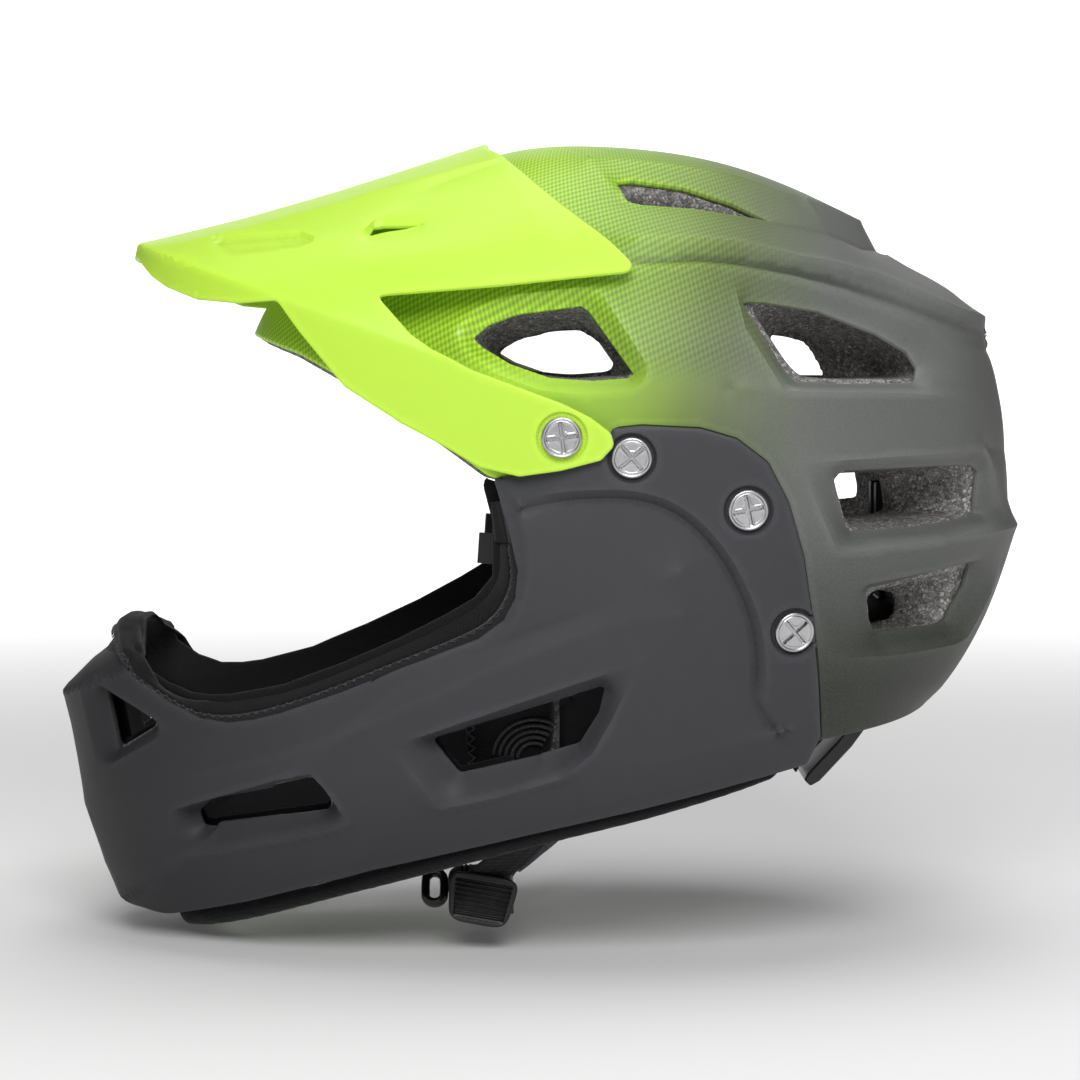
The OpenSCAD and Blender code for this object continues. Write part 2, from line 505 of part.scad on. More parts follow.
outer_shell();
eps_liner();
brow_pad();
crown_pads();
chin_bar_shell();
chin_bar_foam();
chin_bar_lining();
lower_pad_left();
lower_pad_right();
cheek_pad_left();
cheek_pad_right();
chin_bar_screws();
chin_bar_inserts();
visor();
visor_screws();
visor_inserts();
visor_washers();
cradle_track();
track_pins();
cradle_frame();
cradle_pad();
dial_knob();
dial_pinion();
head_band_left();
head_band_right();
strap_anchors();
front_webbing_left();
front_webbing_right();
rear_webbing_left();
rear_webbing_right();
strap_divider_left();
strap_divider_right();
chin_strap_left();
chin_strap_right();
chin_strap_pad();
buckle_socket();
buckle_plug();
strap_keeper();
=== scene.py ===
import bpy, bmesh, math
import numpy as np
from mathutils import Vector, Matrix, kdtree
from mathutils.geometry import delaunay_2d_cdt


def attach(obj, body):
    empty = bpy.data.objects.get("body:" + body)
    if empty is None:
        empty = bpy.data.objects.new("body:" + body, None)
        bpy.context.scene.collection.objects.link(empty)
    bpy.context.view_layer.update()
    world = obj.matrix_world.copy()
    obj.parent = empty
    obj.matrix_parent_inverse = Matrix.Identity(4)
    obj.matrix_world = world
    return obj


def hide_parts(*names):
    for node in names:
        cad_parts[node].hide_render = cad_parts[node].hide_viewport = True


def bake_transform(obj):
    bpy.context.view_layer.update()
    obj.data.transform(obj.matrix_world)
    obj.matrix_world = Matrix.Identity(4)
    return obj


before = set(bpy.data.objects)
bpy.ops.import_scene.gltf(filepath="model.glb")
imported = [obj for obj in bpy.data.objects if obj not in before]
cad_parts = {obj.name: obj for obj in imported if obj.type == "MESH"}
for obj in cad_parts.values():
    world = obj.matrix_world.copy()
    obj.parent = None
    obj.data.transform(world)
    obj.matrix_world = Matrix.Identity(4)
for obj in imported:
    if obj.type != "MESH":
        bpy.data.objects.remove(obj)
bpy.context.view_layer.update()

scene = bpy.context.scene
coll = scene.collection
RNG = np.random.default_rng(7)

# ---------------------------------------------------------------- camera
cam = bpy.data.objects.new("camera", bpy.data.cameras.new("camera"))
coll.objects.link(cam)
cam.data.sensor_width = 36
cam.data.lens = 36 * 2895 / 1080
cam.data.clip_start, cam.data.clip_end = 0.01, 50
cam.location = (-0.038, -1.100, 0.034)
cam.rotation_euler = (math.radians(90 - 3.76), 0, 0)
scene.camera = cam

# ---------------------------------------------------------------- forms
# All shape work is in millimetres; meshes are made in metres.
HW = 105.0
POLE = (15.0, 0.0)
SHELL_OUT = [(-180,166),(-150,180),(-120,190),(-90,170),(-66,148),(-49,135),(-43,134.5),
  (-33,132),(-21,128.6),(-12,124.6),(-2,122.2),(8,120.8),(17,120),(28,114.2),(38,106.4),(46,103.2),
  (60,102.4),(77,104.2),(93,108.5),(105,114.4),(122,126.8),(130,131.5),(139,140.5),(150,151.5),(160,162),
  (168,166),(180,166)]
SHELL_FULL = [(-180,2.35),(-120,2.8),(-90,2.9),(-66,2.8),(-45,2.5),(0,2.3),(45,2.2),
  (90,2.15),(135,2.2),(180,2.35)]
BAR_OUT = [(-150,37),(-190,-60),(-197,-76),(-218,-95),(-215,-107),(-209,-137),(-194,-171),
  (-176,-177),(-140,-192),(-80,-197),(-10,-183),(50,-153),(76,-138)]
BAR_FULL = [(-180,2.3),(-160,2.1),(-140,2.1),(-120,2.4),(-90,2.8),(-66,2.8),(-45,2.5),
  (0,2.3),(45,2.2),(90,2.15),(135,2.2),(180,2.3)]
PEAK_OUT = [(-192,20),(-188.5,65),(-187,73),(-148,82.8),(-129,88.2),(-114,92.6),(-91,100),(-68.4,107.4),(-59,110.4),(-36,113.4),(15,116.5),(60,108)]
PEAK_FULL = [(-180,2.9),(-90,2.6),(0,2.3),(90,2.3),(120,2.4),(150,2.8),(165,2.9),(180,2.9)]
HEAD_OUT = [(-180,104),(-135,140),(-90,190),(-45,140),(0,104),(45,97),(90,92),(135,97),(180,104)]


def curve(tab, a):
    a = (np.asarray(a, float) + 180) % 360 - 180
    A = np.array([t[0] for t in tab], float); V = np.array([t[1] for t in tab], float)
    n = len(A) - 1
    eA = np.r_[A[-2] - 360, A, A[1] + 360]; eV = np.r_[V[-2], V, V[1]]
    m = (eV[2:] - eV[:-2]) / (eA[2:] - eA[:-2])
    i = np.clip(np.searchsorted(A, a, side="right") - 1, 0, n - 1)
    h = A[i + 1] - A[i]; t = (a - A[i]) / h
    return (V[i]*(2*t**3 - 3*t**2 + 1) + m[i]*h*(t**3 - 2*t**2 + t)
            + V[i + 1]*(-2*t**3 + 3*t**2) + m[i + 1]*h*(t**3 - t**2))


def ray_out(pts, a, other):
    """Distance from the pole to a side outline along the angles a."""
    out = np.array(other, float)
    c, s = np.cos(np.radians(a)), np.sin(np.radians(a))
    found = np.zeros(len(out), bool)
    for p, q in zip(pts[:-1], pts[1:]):
        bx, bz = p[0] - POLE[0], p[1] - POLE[1]
        ex, ez = q[0] - p[0], q[1] - p[1]
        den = c*ez - s*ex
        den = np.where(np.abs(den) < 1e-9, 1e-9, den)
        r = (bx*ez - bz*ex) / den
        u = np.where(abs(ex) > abs(ez), (r*c - bx)/(ex if ex else 1), (r*s - bz)/(ez if ez else 1))
        ok = (r > 0) & (u >= -1e-6) & (u <= 1 + 1e-6) & ~found
        out[ok] = r[ok]; found |= ok
    return out


class Form:
    """Rounded form: |y/H|^n + (r/R(angle))^n = 1 about a pole, drawn in by d."""
    def __init__(s, H, R, N, d=0.0, pole=POLE):
        s.H = H - d; s.o = pole
        s.A = np.linspace(-180, 180, 1441)
        s.R = R(s.A) - d; s.N = N(s.A)
        q = np.linspace(0, math.pi/2, 1501); sf, cf = np.sin(q), np.cos(q); cf[-1] = 0
        K = 300
        s.sig = np.linspace(0, 1, K + 1)
        s.T = np.empty((1441, K + 1)); s.Y = np.empty((1441, K + 1)); s.S = np.empty(1441)
        for i in range(1441):
            t, y = sf**(2/s.N[i]), cf**(2/s.N[i])
            L = np.r_[0, np.cumsum(np.hypot(np.diff(t)*s.R[i], np.diff(y)*s.H))]
            s.S[i] = L[-1]
            s.T[i] = np.interp(s.sig*L[-1], L, t); s.Y[i] = np.interp(s.sig*L[-1], L, y)

    def _a(s, a):
        f = ((a + 180) % 360) / 0.25
        i = np.minimum(f.astype(int), 1439)
        return i, f - i

    def smax(s, a):
        i, u = s._a(a)
        return s.S[i]*(1 - u) + s.S[i + 1]*u

    def at(s, a, sig):
        """3D points on the -Y side."""
        i, u = s._a(a)
        f = np.clip(sig, 0, 1)*(len(s.sig) - 1)
        j = np.minimum(f.astype(int), len(s.sig) - 2); v = f - j
        def get(T):
            return ((T[i, j]*(1 - v) + T[i, j + 1]*v)*(1 - u) + (T[i + 1, j]*(1 - v) + T[i + 1, j + 1]*v)*u)
        t, y = get(s.T), get(s.Y)
        r = t*(s.R[i]*(1 - u) + s.R[i + 1]*u)
        y = np.where(sig >= 1, 0, y)
        ar = np.radians(a)
        return np.c_[s.o[0] + r*np.cos(ar), -s.H*y, s.o[1] + r*np.sin(ar)]

    def from_uv(s, uv):
        a = np.degrees(np.arctan2(uv[:, 1], uv[:, 0])); S = np.hypot(uv[:, 0], uv[:, 1])
        return a, S/s.smax(a)

    def uv(s, a, sig):
        S = s.smax(a)*sig; ar = np.radians(a)
        return np.c_[S*np.cos(ar), S*np.sin(ar)]

    def side_uv(s, xz):
        """Flat coordinates of side-view points; beyond the outline they go on outwards."""
        dx, dz = xz[:, 0] - s.o[0], xz[:, 1] - s.o[1]
        a = np.degrees(np.arctan2(dz, dx)); r = np.hypot(dx, dz)
        i, u = s._a(a)
        R = s.R[i]*(1 - u) + s.R[i + 1]*u
        n = s.N[i]*(1 - u) + s.N[i + 1]*u
        t = r/R
        sig = np.empty(len(a))
        for k in range(len(a)):
            if t[k] >= 1:
                sig[k] = 1 + (t[k] - 1)
            elif t[k] < 0.8:
                sig[k] = (np.interp(t[k], s.T[i[k]], s.sig)*(1 - u[k]) + np.interp(t[k], s.T[i[k] + 1], s.sig)*u[k])
            else:
                y = (1 - t[k]**n[k])**(1/n[k])
                sig[k] = (np.interp(-y, -s.Y[i[k]], s.sig)*(1 - u[k]) + np.interp(-y, -s.Y[i[k] + 1], s.sig)*u[k])
        return s.uv(a, sig)

    def plan_uv(s, xy):
        """Flat coordinates of points given in plan, on the upper half."""
        xy = np.asarray(xy, float)
        lo = np.zeros(len(xy)) + 5.0; hi = np.full(len(xy), 200.0)
        for _ in range(40):
            m = (lo + hi)/2
            f = s.F(np.c_[xy[:, 0], np.abs(xy[:, 1]), m])
            lo = np.where(f < 1, m, lo); hi = np.where(f < 1, hi, m)
        z = (lo + hi)/2
        dx, dz = xy[:, 0] - s.o[0], z - s.o[1]
        a = np.degrees(np.arctan2(dz, dx)); i, u = s._a(a)
        y = np.clip(np.abs(xy[:, 1])/s.H, 0, 1)
        sig = np.array([np.interp(-y[k], -s.Y[i[k]], s.sig)*(1 - u[k]) + np.interp(-y[k], -s.Y[i[k] + 1], s.sig)*u[k] for k in range(len(a))])
        return s.uv(a, sig)

    def F(s, P):
        dx, dz = P[:, 0] - s.o[0], P[:, 2] - s.o[1]
        a = np.degrees(np.arctan2(dz, dx)); i, u = s._a(a)
        R = s.R[i]*(1 - u) + s.R[i + 1]*u; n = s.N[i]*(1 - u) + s.N[i + 1]*u
        return (np.abs(P[:, 1])/s.H)**n + (np.hypot(dx, dz)/R)**n

    def normal(s, P, e=0.6):
        g = []
        for k in range(3):
            d = np.zeros(3); d[k] = e
            g.append(s.F(P + d) - s.F(P - d))
        g = np.array(g).T
        return g/np.maximum(np.linalg.norm(g, axis=1), 1e-12)[:, None]

    def half_width(s, x, z):
        dx, dz = x - s.o[0], z - s.o[1]
        a = np.array([math.degrees(math.atan2(dz, dx))]); i, u = s._a(a)
        R = (s.R[i]*(1 - u) + s.R[i + 1]*u)[0]; n = (s.N[i]*(1 - u) + s.N[i + 1]*u)[0]
        t = min(1, math.hypot(dx, dz)/R)
        return s.H*(1 - t**n)**(1/n)


shell_R = lambda a: curve(SHELL_OUT, a)
bar_R = lambda a: ray_out(BAR_OUT, a, shell_R(a) + 3)
peak_R = lambda a: ray_out(PEAK_OUT, a, np.where((a < -90) | (a > 170), 210, shell_R(a) + 6))
head_R = lambda a: curve(HEAD_OUT, a)
shell_form = lambda d=0.0: Form(HW, shell_R, lambda a: curve(SHELL_FULL, a), d)
bar_form = lambda d=0.0: Form(HW + 3, bar_R, lambda a: curve(BAR_FULL, a), d)
peak_form = lambda d=0.0: Form(HW + 6.2, peak_R, lambda a: curve(PEAK_FULL, a), d)
head_form = lambda d=0.0: Form(80, head_R, lambda a: a*0 + 2.2, d, pole=(-6, -12))
SHELL, BAR, PEAK, HEAD = shell_form(), bar_form(), peak_form(), head_form()

# ---------------------------------------------------------------- flat geometry
def arr(p): return np.asarray(p, float)


def resample(p, step, closed=True):
    p = arr(p); out = []
    q = np.vstack([p, p[:1]]) if closed else p
    for a, b in zip(q[:-1], q[1:]):
        n = max(1, int(math.ceil(np.linalg.norm(b - a)/step)))
        out.append(a + (b - a)*np.linspace(0, 1, n, endpoint=False)[:, None])
    if not closed: out.append(q[-1:])
    return np.vstack(out)


def fillet(p, r, n=5):
    """Closed outline with its corners rounded."""
    p = arr(p); out = []; m = len(p)
    for i in range(m):
        a, b, c = p[i - 1], p[i], p[(i + 1) % m]
        la, lc = np.linalg.norm(a - b), np.linalg.norm(c - b)
        ua, uc = (a - b)/la, (c - b)/lc
        ang = math.acos(max(-1, min(1, float(ua @ uc))))
        if ang > math.radians(170): out.append(b); continue
        d = min(r/math.tan(ang/2), 0.45*la, 0.45*lc)
        s, e = b + ua*d, b + uc*d
        for t in np.linspace(0, 1, n + 1):
            out.append((1 - t)**2*s + 2*t*(1 - t)*b + t*t*e)
    return arr(out)


def smooth_line(p, step=1.0, closed=False):
    """Catmull-Rom through the points (2D or 3D)."""
    p = arr(p); n = len(p)
    if closed: q = np.vstack([p[-1:], p, p[:2]])
    else: q = np.vstack([2*p[:1] - p[1:2], p, 2*p[-1:] - p[-2:-1]])
    out = []
    for i in range(1, len(q) - 2):
        a, b, c, d = q[i - 1], q[i], q[i + 1], q[i + 2]
        k = max(2, int(np.linalg.norm(c - b)/step) + 1)
        t = np.linspace(0, 1, k, endpoint=False)[:, None]
        out.append(0.5*((2*b) + (-a + c)*t + (2*a - 5*b + 4*c - d)*t**2 + (-a + 3*b - 3*c + d)*t**3))
    if not closed: out.append(p[-1:])
    return np.vstack(out)


def inside(P, poly):
    P = arr(P); poly = arr(poly); r = np.zeros(len(P), bool)
    lo, hi = poly.min(0), poly.max(0)
    w = np.where((P[:, 0] >= lo[0]) & (P[:, 0] <= hi[0]) & (P[:, 1] >= lo[1]) & (P[:, 1] <= hi[1]))[0]
    if len(w) == 0: return r
    a, b = poly, np.roll(poly, -1, 0)
    for c in np.array_split(w, max(1, len(w)*len(poly)//4000000 + 1)):
        x, y = P[c, 0][:, None], P[c, 1][:, None]
        cond = (a[:, 1] > y) != (b[:, 1] > y)
        with np.errstate(divide="ignore", invalid="ignore"):
            xi = (b[:, 0] - a[:, 0])*(y - a[:, 1])/(b[:, 1] - a[:, 1]) + a[:, 0]
        r[c] = (np.sum(cond & (x < xi), 1) % 2) == 1
    return r


def dist(P, line, closed=False, reach=25):
    """Distance to a polyline, and how far along it (0 to 1); far points get a large distance."""
    P = arr(P); line = arr(line); q = np.vstack([line, line[:1]]) if closed else line
    d = np.full(len(P), 1e3); s = np.zeros(len(P))
    lo, hi = q.min(0) - reach, q.max(0) + reach
    w = np.where(np.all((P >= lo) & (P <= hi), 1))[0]
    L = np.r_[0, np.cumsum(np.linalg.norm(np.diff(q, axis=0), axis=1))]
    for i in range(len(q) - 1):
        a, e = q[i], q[i + 1] - q[i]
        t = np.clip((P[w] - a) @ e/max(e @ e, 1e-12), 0, 1)
        dd = np.linalg.norm(P[w] - a - t[:, None]*e, axis=1)
        b = dd < d[w]
        s[w[b]] = (L[i] + t[b]*(L[i + 1] - L[i]))/max(L[-1], 1e-9)
        d[w[b]] = dd[b]
    return d, s


def step(t): t = np.clip(t, 0, 1); return t*t*(3 - 2*t)


def unit(v): return v/np.maximum(np.linalg.norm(v, axis=-1, keepdims=True), 1e-12)


class Line:
    """A crease or outline in the side view (or in plan), with the heights that it gives the surface."""
    def __init__(s, p, h=None, closed=False, plan=False, hole=False):
        s.p, s.closed, s.plan, s.hole = arr(p), closed or hole, plan, hole
        if h is None: s.h = None
        elif callable(h): s.h = np.asarray(h(s.p), float)
        else: s.h = np.broadcast_to(np.asarray(h, float), len(s.p)).copy()

    def map(s, form, tol):
        p, h = s.p, (s.h if s.h is not None else np.zeros(len(s.p)))
        f = form.plan_uv if s.plan else form.side_uv
        uv = f(p)
        for _ in range(8):
            n = len(p); nx = (np.arange(n) + 1) % n
            gap = np.linalg.norm(uv[nx] - uv, axis=1)
            sg = np.hypot(*uv.T)/form.smax(np.degrees(np.arctan2(uv[:, 1], uv[:, 0])))
            bad = (gap > tol) & ~((sg > 1.04) & (sg[nx] > 1.04))
            if not s.closed: bad[-1] = False
            if not bad.any(): break
            k = np.where(bad)[0]
            order = np.argsort(np.r_[np.arange(n), k + 0.5], kind="stable")
            mp = (p[k] + p[nx[k]])/2
            p = np.vstack([p, mp])[order]; h = np.r_[h, (h[k] + h[nx[k]])/2][order]
            uv = np.vstack([uv, f(mp)])[order]
        return uv, h


def near_line(P, uv, h, closed, reach):
    """Distance from each point to a mapped line, and the line's height there."""
    q = np.vstack([uv, uv[:1]]) if closed else uv
    hh = np.r_[h, h[:1]] if closed else h
    d = np.full(len(P), 1e3); v = np.zeros(len(P))
    lo, hi = q.min(0) - reach, q.max(0) + reach
    w = np.where(np.all((P >= lo) & (P <= hi), 1))[0]
    X = P[w]; dw = d[w]; vw = v[w]
    for i in range(len(q) - 1):
        a, e = q[i], q[i + 1] - q[i]
        c = (a + q[i + 1])/2; r = reach + 0.5*math.hypot(*e)
        m = np.where((np.abs(X[:, 0] - c[0]) < r) & (np.abs(X[:, 1] - c[1]) < r))[0]
        if len(m) == 0: continue
        t = np.clip((X[m] - a) @ e/max(e @ e, 1e-12), 0, 1)
        dd = np.linalg.norm(X[m] - a - t[:, None]*e, axis=1)
        b = dd < dw[m]
        dw[m[b]] = dd[b]; vw[m[b]] = (hh[i] + t*(hh[i + 1] - hh[i]))[b]
    d[w] = dw; v[w] = vw
    return d, v


class Sheet:
    """A piece laid over a form. Its outline, holes and creases are cut into the mesh exactly."""
    def __init__(s, form, keep=None, lines=(), grid=2.4, fine=1.2, reach=5.0, tol=1.0):
        s.form = form; s.lines = []
        kl = None
        if keep is not None:
            kl = keep if isinstance(keep, Line) else Line(keep, closed=True)
            kl.closed = True
        cons = []
        keep_uv = None
        if kl is not None:
            keep_uv, h = kl.map(form, tol); cons.append((keep_uv, True)); s.lines.append((kl, keep_uv, h))
        holes = []
        for l in lines:
            uv, h = l.map(form, tol); cons.append((uv, l.closed)); s.lines.append((l, uv, h))
            if l.hole: holes.append(uv)
        aa = np.arange(-180, 180, 0.5)
        ring = form.uv(aa, np.ones(len(aa)))
        verts, edges = [ring], [[i, (i + 1) % len(ring)] for i in range(len(ring))]
        base = len(ring)
        for p, closed in cons:
            n = len(p); verts.append(p)
            edges += [[base + i, base + (i + 1) % n] for i in range(n if closed else n - 1)]
            base += n
        C = np.vstack(verts)
        g = fine
        R = form.S.max(); nx = int(2*R/g) + 2; ny = int(2*R/(g*0.866)) + 2
        I, J = np.meshgrid(np.arange(-nx//2, nx//2), np.arange(-ny//2, ny//2))
        G = np.c_[((I + 0.5*(J % 2))*g).ravel(), (J*g*0.866).ravel()]
        k = max(1, int(round(grid/fine)))
        coarse = ((I % k == 0) & (J % k == 0)).ravel()
        a, sg = form.from_uv(G)
        ok = sg < 1 - 0.35*g/form.smax(a)
        if keep_uv is not None: ok &= inside(G, keep_uv)
        for h in holes: ok &= ~inside(G, h)
        G, coarse = G[ok], coarse[ok]
        kd = kdtree.KDTree(len(C))
        for i, p in enumerate(C.tolist()): kd.insert((p[0], p[1], 0), i)
        kd.balance()
        dd = np.array([kd.find((p[0], p[1], 0))[2] for p in G.tolist()]) if len(G) else np.zeros(0)
        G = G[(dd > 0.5*g) & (coarse | (dd < reach))]
        V = [Vector(p) for p in np.vstack([C, G]).tolist()]
        out = delaunay_2d_cdt(V, edges, [], 0, 1e-5, False)
        uv = arr([[v[0], v[1]] for v in out[0]])
        tri = np.array([t for t in out[2] if len(t) == 3], int)
        cen = uv[tri].mean(1)
        a, sg = form.from_uv(cen)
        ok = sg < 1.0
        if keep_uv is not None: ok &= inside(cen, keep_uv)
        for h in holes: ok &= ~inside(cen, h)
        x = uv[tri]
        area = 0.5*((x[:, 1, 0] - x[:, 0, 0])*(x[:, 2, 1] - x[:, 0, 1]) - (x[:, 1, 1] - x[:, 0, 1])*(x[:, 2, 0] - x[:, 0, 0]))
        ok &= np.abs(area) > 1e-6
        tri = tri[ok]; area = area[ok]
        tri[area < 0] = tri[area < 0][:, ::-1]
        used = np.unique(tri); remap = -np.ones(len(uv), int); remap[used] = np.arange(len(used))
        s.tri = remap[tri]; s.uv = uv[used]
        a, sg = form.from_uv(s.uv)
        sg = np.where(sg > 1 - 4e-4, 1.0, sg)
        s.P = form.at(a, sg); s.seam = sg >= 1
        s.N = form.normal(s.P)
        s.N[s.seam, 1] = 0
        s.N /= np.maximum(np.linalg.norm(s.N, axis=1), 1e-9)[:, None]
        # -Y half seen from outside: make the triangles face outwards
        t = s.tri[:2000]
        fn = np.cross(s.P[t[:, 1]] - s.P[t[:, 0]], s.P[t[:, 2]] - s.P[t[:, 0]])
        if (np.einsum("ij,ij->i", fn, s.N[t[:, 0]]) > 0).mean() < 0.5: s.tri = s.tri[:, ::-1]

    def field(s, lam=12.0, extra=()):
        """Height of the surface: given on the lines, taut between them, fading away from them."""
        n = len(s.uv); fixed = np.zeros(n, bool); val = np.zeros(n)
        for l, uv, h in list(s.lines) + [(e, *e.map(s.form, 1.0)) for e in extra]:
            if l.h is None: continue
            d, v = near_line(s.uv, uv, h, l.closed, 0.5)
            m = d < 2e-2; fixed |= m; val[m] = v[m]
        t = s.tri; P = s.P
        W = []
        for k in range(3):
            i, j, o = t[:, k], t[:, (k + 1) % 3], t[:, (k + 2) % 3]
            a, b = P[i] - P[o], P[j] - P[o]
            cr = np.linalg.norm(np.cross(a, b), axis=1)
            W.append((i, j, np.clip(0.5*np.einsum("ij,ij->i", a, b)/np.maximum(cr, 1e-9), 0.02, 20)))
        i = np.concatenate([w[0] for w in W]); j = np.concatenate([w[1] for w in W]); w = np.concatenate([w[2] for w in W])
        ar = 0.5*np.linalg.norm(np.cross(P[t[:, 1]] - P[t[:, 0]], P[t[:, 2]] - P[t[:, 0]]), axis=1)
        A = np.bincount(t.ravel(), np.repeat(ar/3, 3), n)
        D = np.bincount(i, w, n) + np.bincount(j, w, n) + A/lam**2
        free = ~fixed
        def mul(x): return D*x - np.bincount(i, w*x[j], n) - np.bincount(j, w*x[i], n)
        x = np.where(fixed, val, 0.0)
        r = np.where(free, -mul(x), 0.0); z = r/D; p = z.copy(); rz = r @ z
        for _ in range(900):
            if rz < 1e-10: break
            q = np.where(free, mul(p), 0.0)
            al = rz/max(p @ q, 1e-30)
            x += al*p; r -= al*q; z = np.where(free, r/D, 0.0)
            nz = r @ z; p = z + (nz/rz)*p; rz = nz
        return x

    def smooth(s, x, times=1, w=0.5):
        """Softens the creases of a height field a little."""
        t = s.tri; n = len(x)
        i = np.concatenate([t[:, 0], t[:, 1], t[:, 2]]); j = np.concatenate([t[:, 1], t[:, 2], t[:, 0]])
        deg = np.maximum(np.bincount(i, minlength=n) + np.bincount(j, minlength=n), 1)
        for _ in range(times):
            m = (np.bincount(i, x[j], n) + np.bincount(j, x[i], n))/deg
            x = x + w*(m - x)
        return x

    def solid(s, h, T, seg=4, bulge=0.8, mix=0.5):
        """Vertices, faces and flat coordinates of the piece, with its mirror image welded on."""
        P, N, tri = s.P, s.N, s.tri
        n = len(P)
        h = np.broadcast_to(h, n).astype(float); T = np.broadcast_to(T, n).astype(float)
        outer = P + N*h[:, None]
        fn = np.cross(outer[tri[:, 1]] - outer[tri[:, 0]], outer[tri[:, 2]] - outer[tri[:, 0]])
        vn = np.zeros_like(P)
        for k in range(3):
            for c in range(3): vn[:, c] += np.bincount(tri[:, k], fn[:, c], n)
        vn[s.seam, 1] = 0
        vn /= np.maximum(np.linalg.norm(vn, axis=1), 1e-12)[:, None]
        M = (1 - mix)*N + mix*vn
        M[s.seam, 1] = 0
        M /= np.maximum(np.linalg.norm(M, axis=1), 1e-9)[:, None]
        inner = outer - M*T[:, None]
        # nothing of the near half may reach past the middle plane
        inner[:, 1] = np.minimum(inner[:, 1], 0); outer[:, 1] = np.minimum(outer[:, 1], 0)
        e = np.vstack([tri[:, [0, 1]], tri[:, [1, 2]], tri[:, [2, 0]]])
        key = np.sort(e, 1); _, inv, cnt = np.unique(key[:, 0]*(n + 1) + key[:, 1], return_inverse=True, return_counts=True)
        b = (cnt[inv.ravel()] == 1) & ~(s.seam[e[:, 0]] & s.seam[e[:, 1]])
        be = e[b]
        d = outer[be[:, 1]] - outer[be[:, 0]]
        c = np.cross(d, M[be[:, 0]] + M[be[:, 1]])
        c /= np.maximum(np.linalg.norm(c, axis=1), 1e-12)[:, None]
        con = np.zeros_like(P)
        np.add.at(con, be[:, 0], c); np.add.at(con, be[:, 1], c)
        con[s.seam, 1] = 0
        bv = np.unique(be)
        con[bv] /= np.maximum(np.linalg.norm(con[bv], axis=1), 1e-12)[:, None]
        verts = [outer, inner]; uvs = [s.uv, s.uv]
        idx = -np.ones((seg + 1, n), int)
        idx[0] = np.arange(n); idx[seg] = np.arange(n) + n
        at = 2*n
        Pc = (outer + inner)/2
        for k in range(1, seg):
            f = math.pi*k/seg
            ring = Pc[bv] + (T[bv]/2)[:, None]*(M[bv]*math.cos(f) + con[bv]*bulge*math.sin(f))
            idx[k, bv] = np.arange(len(bv)) + at; at += len(bv)
            verts.append(ring); uvs.append(s.uv[bv] + con[bv][:, [0, 2]]*(1 - math.cos(f)))
        faces = [tri, tri[:, ::-1] + n]
        for k in range(seg):
            a0, a1, b0, b1 = idx[k, be[:, 0]], idx[k, be[:, 1]], idx[k + 1, be[:, 0]], idx[k + 1, be[:, 1]]
            faces += [np.c_[a1, a0, b0], np.c_[a1, b0, b1]]
        V = np.vstack(verts); UV = np.vstack(uvs); F = np.vstack(faces)
        seam = np.abs(V[:, 1]) < 1e-6
        m = len(V); k = np.where(~seam)[0]
        mir = np.arange(m); mir[k] = m + np.arange(len(k))
        V2 = np.vstack([V, V[k]*[1, -1, 1]]); UV2 = np.vstack([UV, UV[k]*[-1, 1] + [900, 0]])
        return V2, np.vstack([F, mir[F][:, ::-1]]), UV2

    def closed(s, h):
        """The whole outer surface and its mirror image, as one closed skin."""
        V = s.P + s.N*np.broadcast_to(h, len(s.P))[:, None]
        V[:, 1] = np.minimum(V[:, 1], 0); V[s.seam, 1] = 0
        k = np.where(~s.seam)[0]; m = len(V)
        mir = np.arange(m); mir[k] = m + np.arange(len(k))
        return np.vstack([V, V[k]*[1, -1, 1]]), np.vstack([s.tri, mir[s.tri][:, ::-1]])


def one_side(V, F, UV, near=True):
    c = V[F][:, :, 1].mean(1)
    F = F[c < 0] if near else F[c > 0]
    u = np.unique(F); r = -np.ones(len(V), int); r[u] = np.arange(len(u))
    return V[u], r[F], UV[u]


def mesh_obj(name, V, F, UV=None, sharp=40):
    me = bpy.data.meshes.new(name)
    V = np.asarray(V, float)*0.001
    if isinstance(F, np.ndarray):
        me.vertices.add(len(V)); me.vertices.foreach_set("co", V.astype(np.float32).ravel())
        me.loops.add(F.size); me.loops.foreach_set("vertex_index", F.astype(np.int32).ravel())
        me.polygons.add(len(F))
        me.polygons.foreach_set("loop_start", np.arange(0, F.size, F.shape[1], dtype=np.int32))
        me.update(calc_edges=True)
    else:
        me.from_pydata(V.tolist(), [], [list(f) for f in F])
    if UV is not None:
        lay = me.uv_layers.new(name="UVMap")
        vi = np.empty(len(me.loops), np.int32); me.loops.foreach_get("vertex_index", vi)
        lay.data.foreach_set("uv", (np.asarray(UV, float)*0.001)[vi].astype(np.float32).ravel())
    me.validate(); me.update()
    me.shade_smooth()
    if sharp: me.set_sharp_from_angle(angle=math.radians(sharp))
    o = bpy.data.objects.new(name, me)
    coll.objects.link(o)
    return o


def finish_piece(o, mat, body, nodes=()):
    o.data.materials.clear(); o.data.materials.append(mat)
    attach(o, body)
    if nodes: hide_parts(*nodes)
    return o

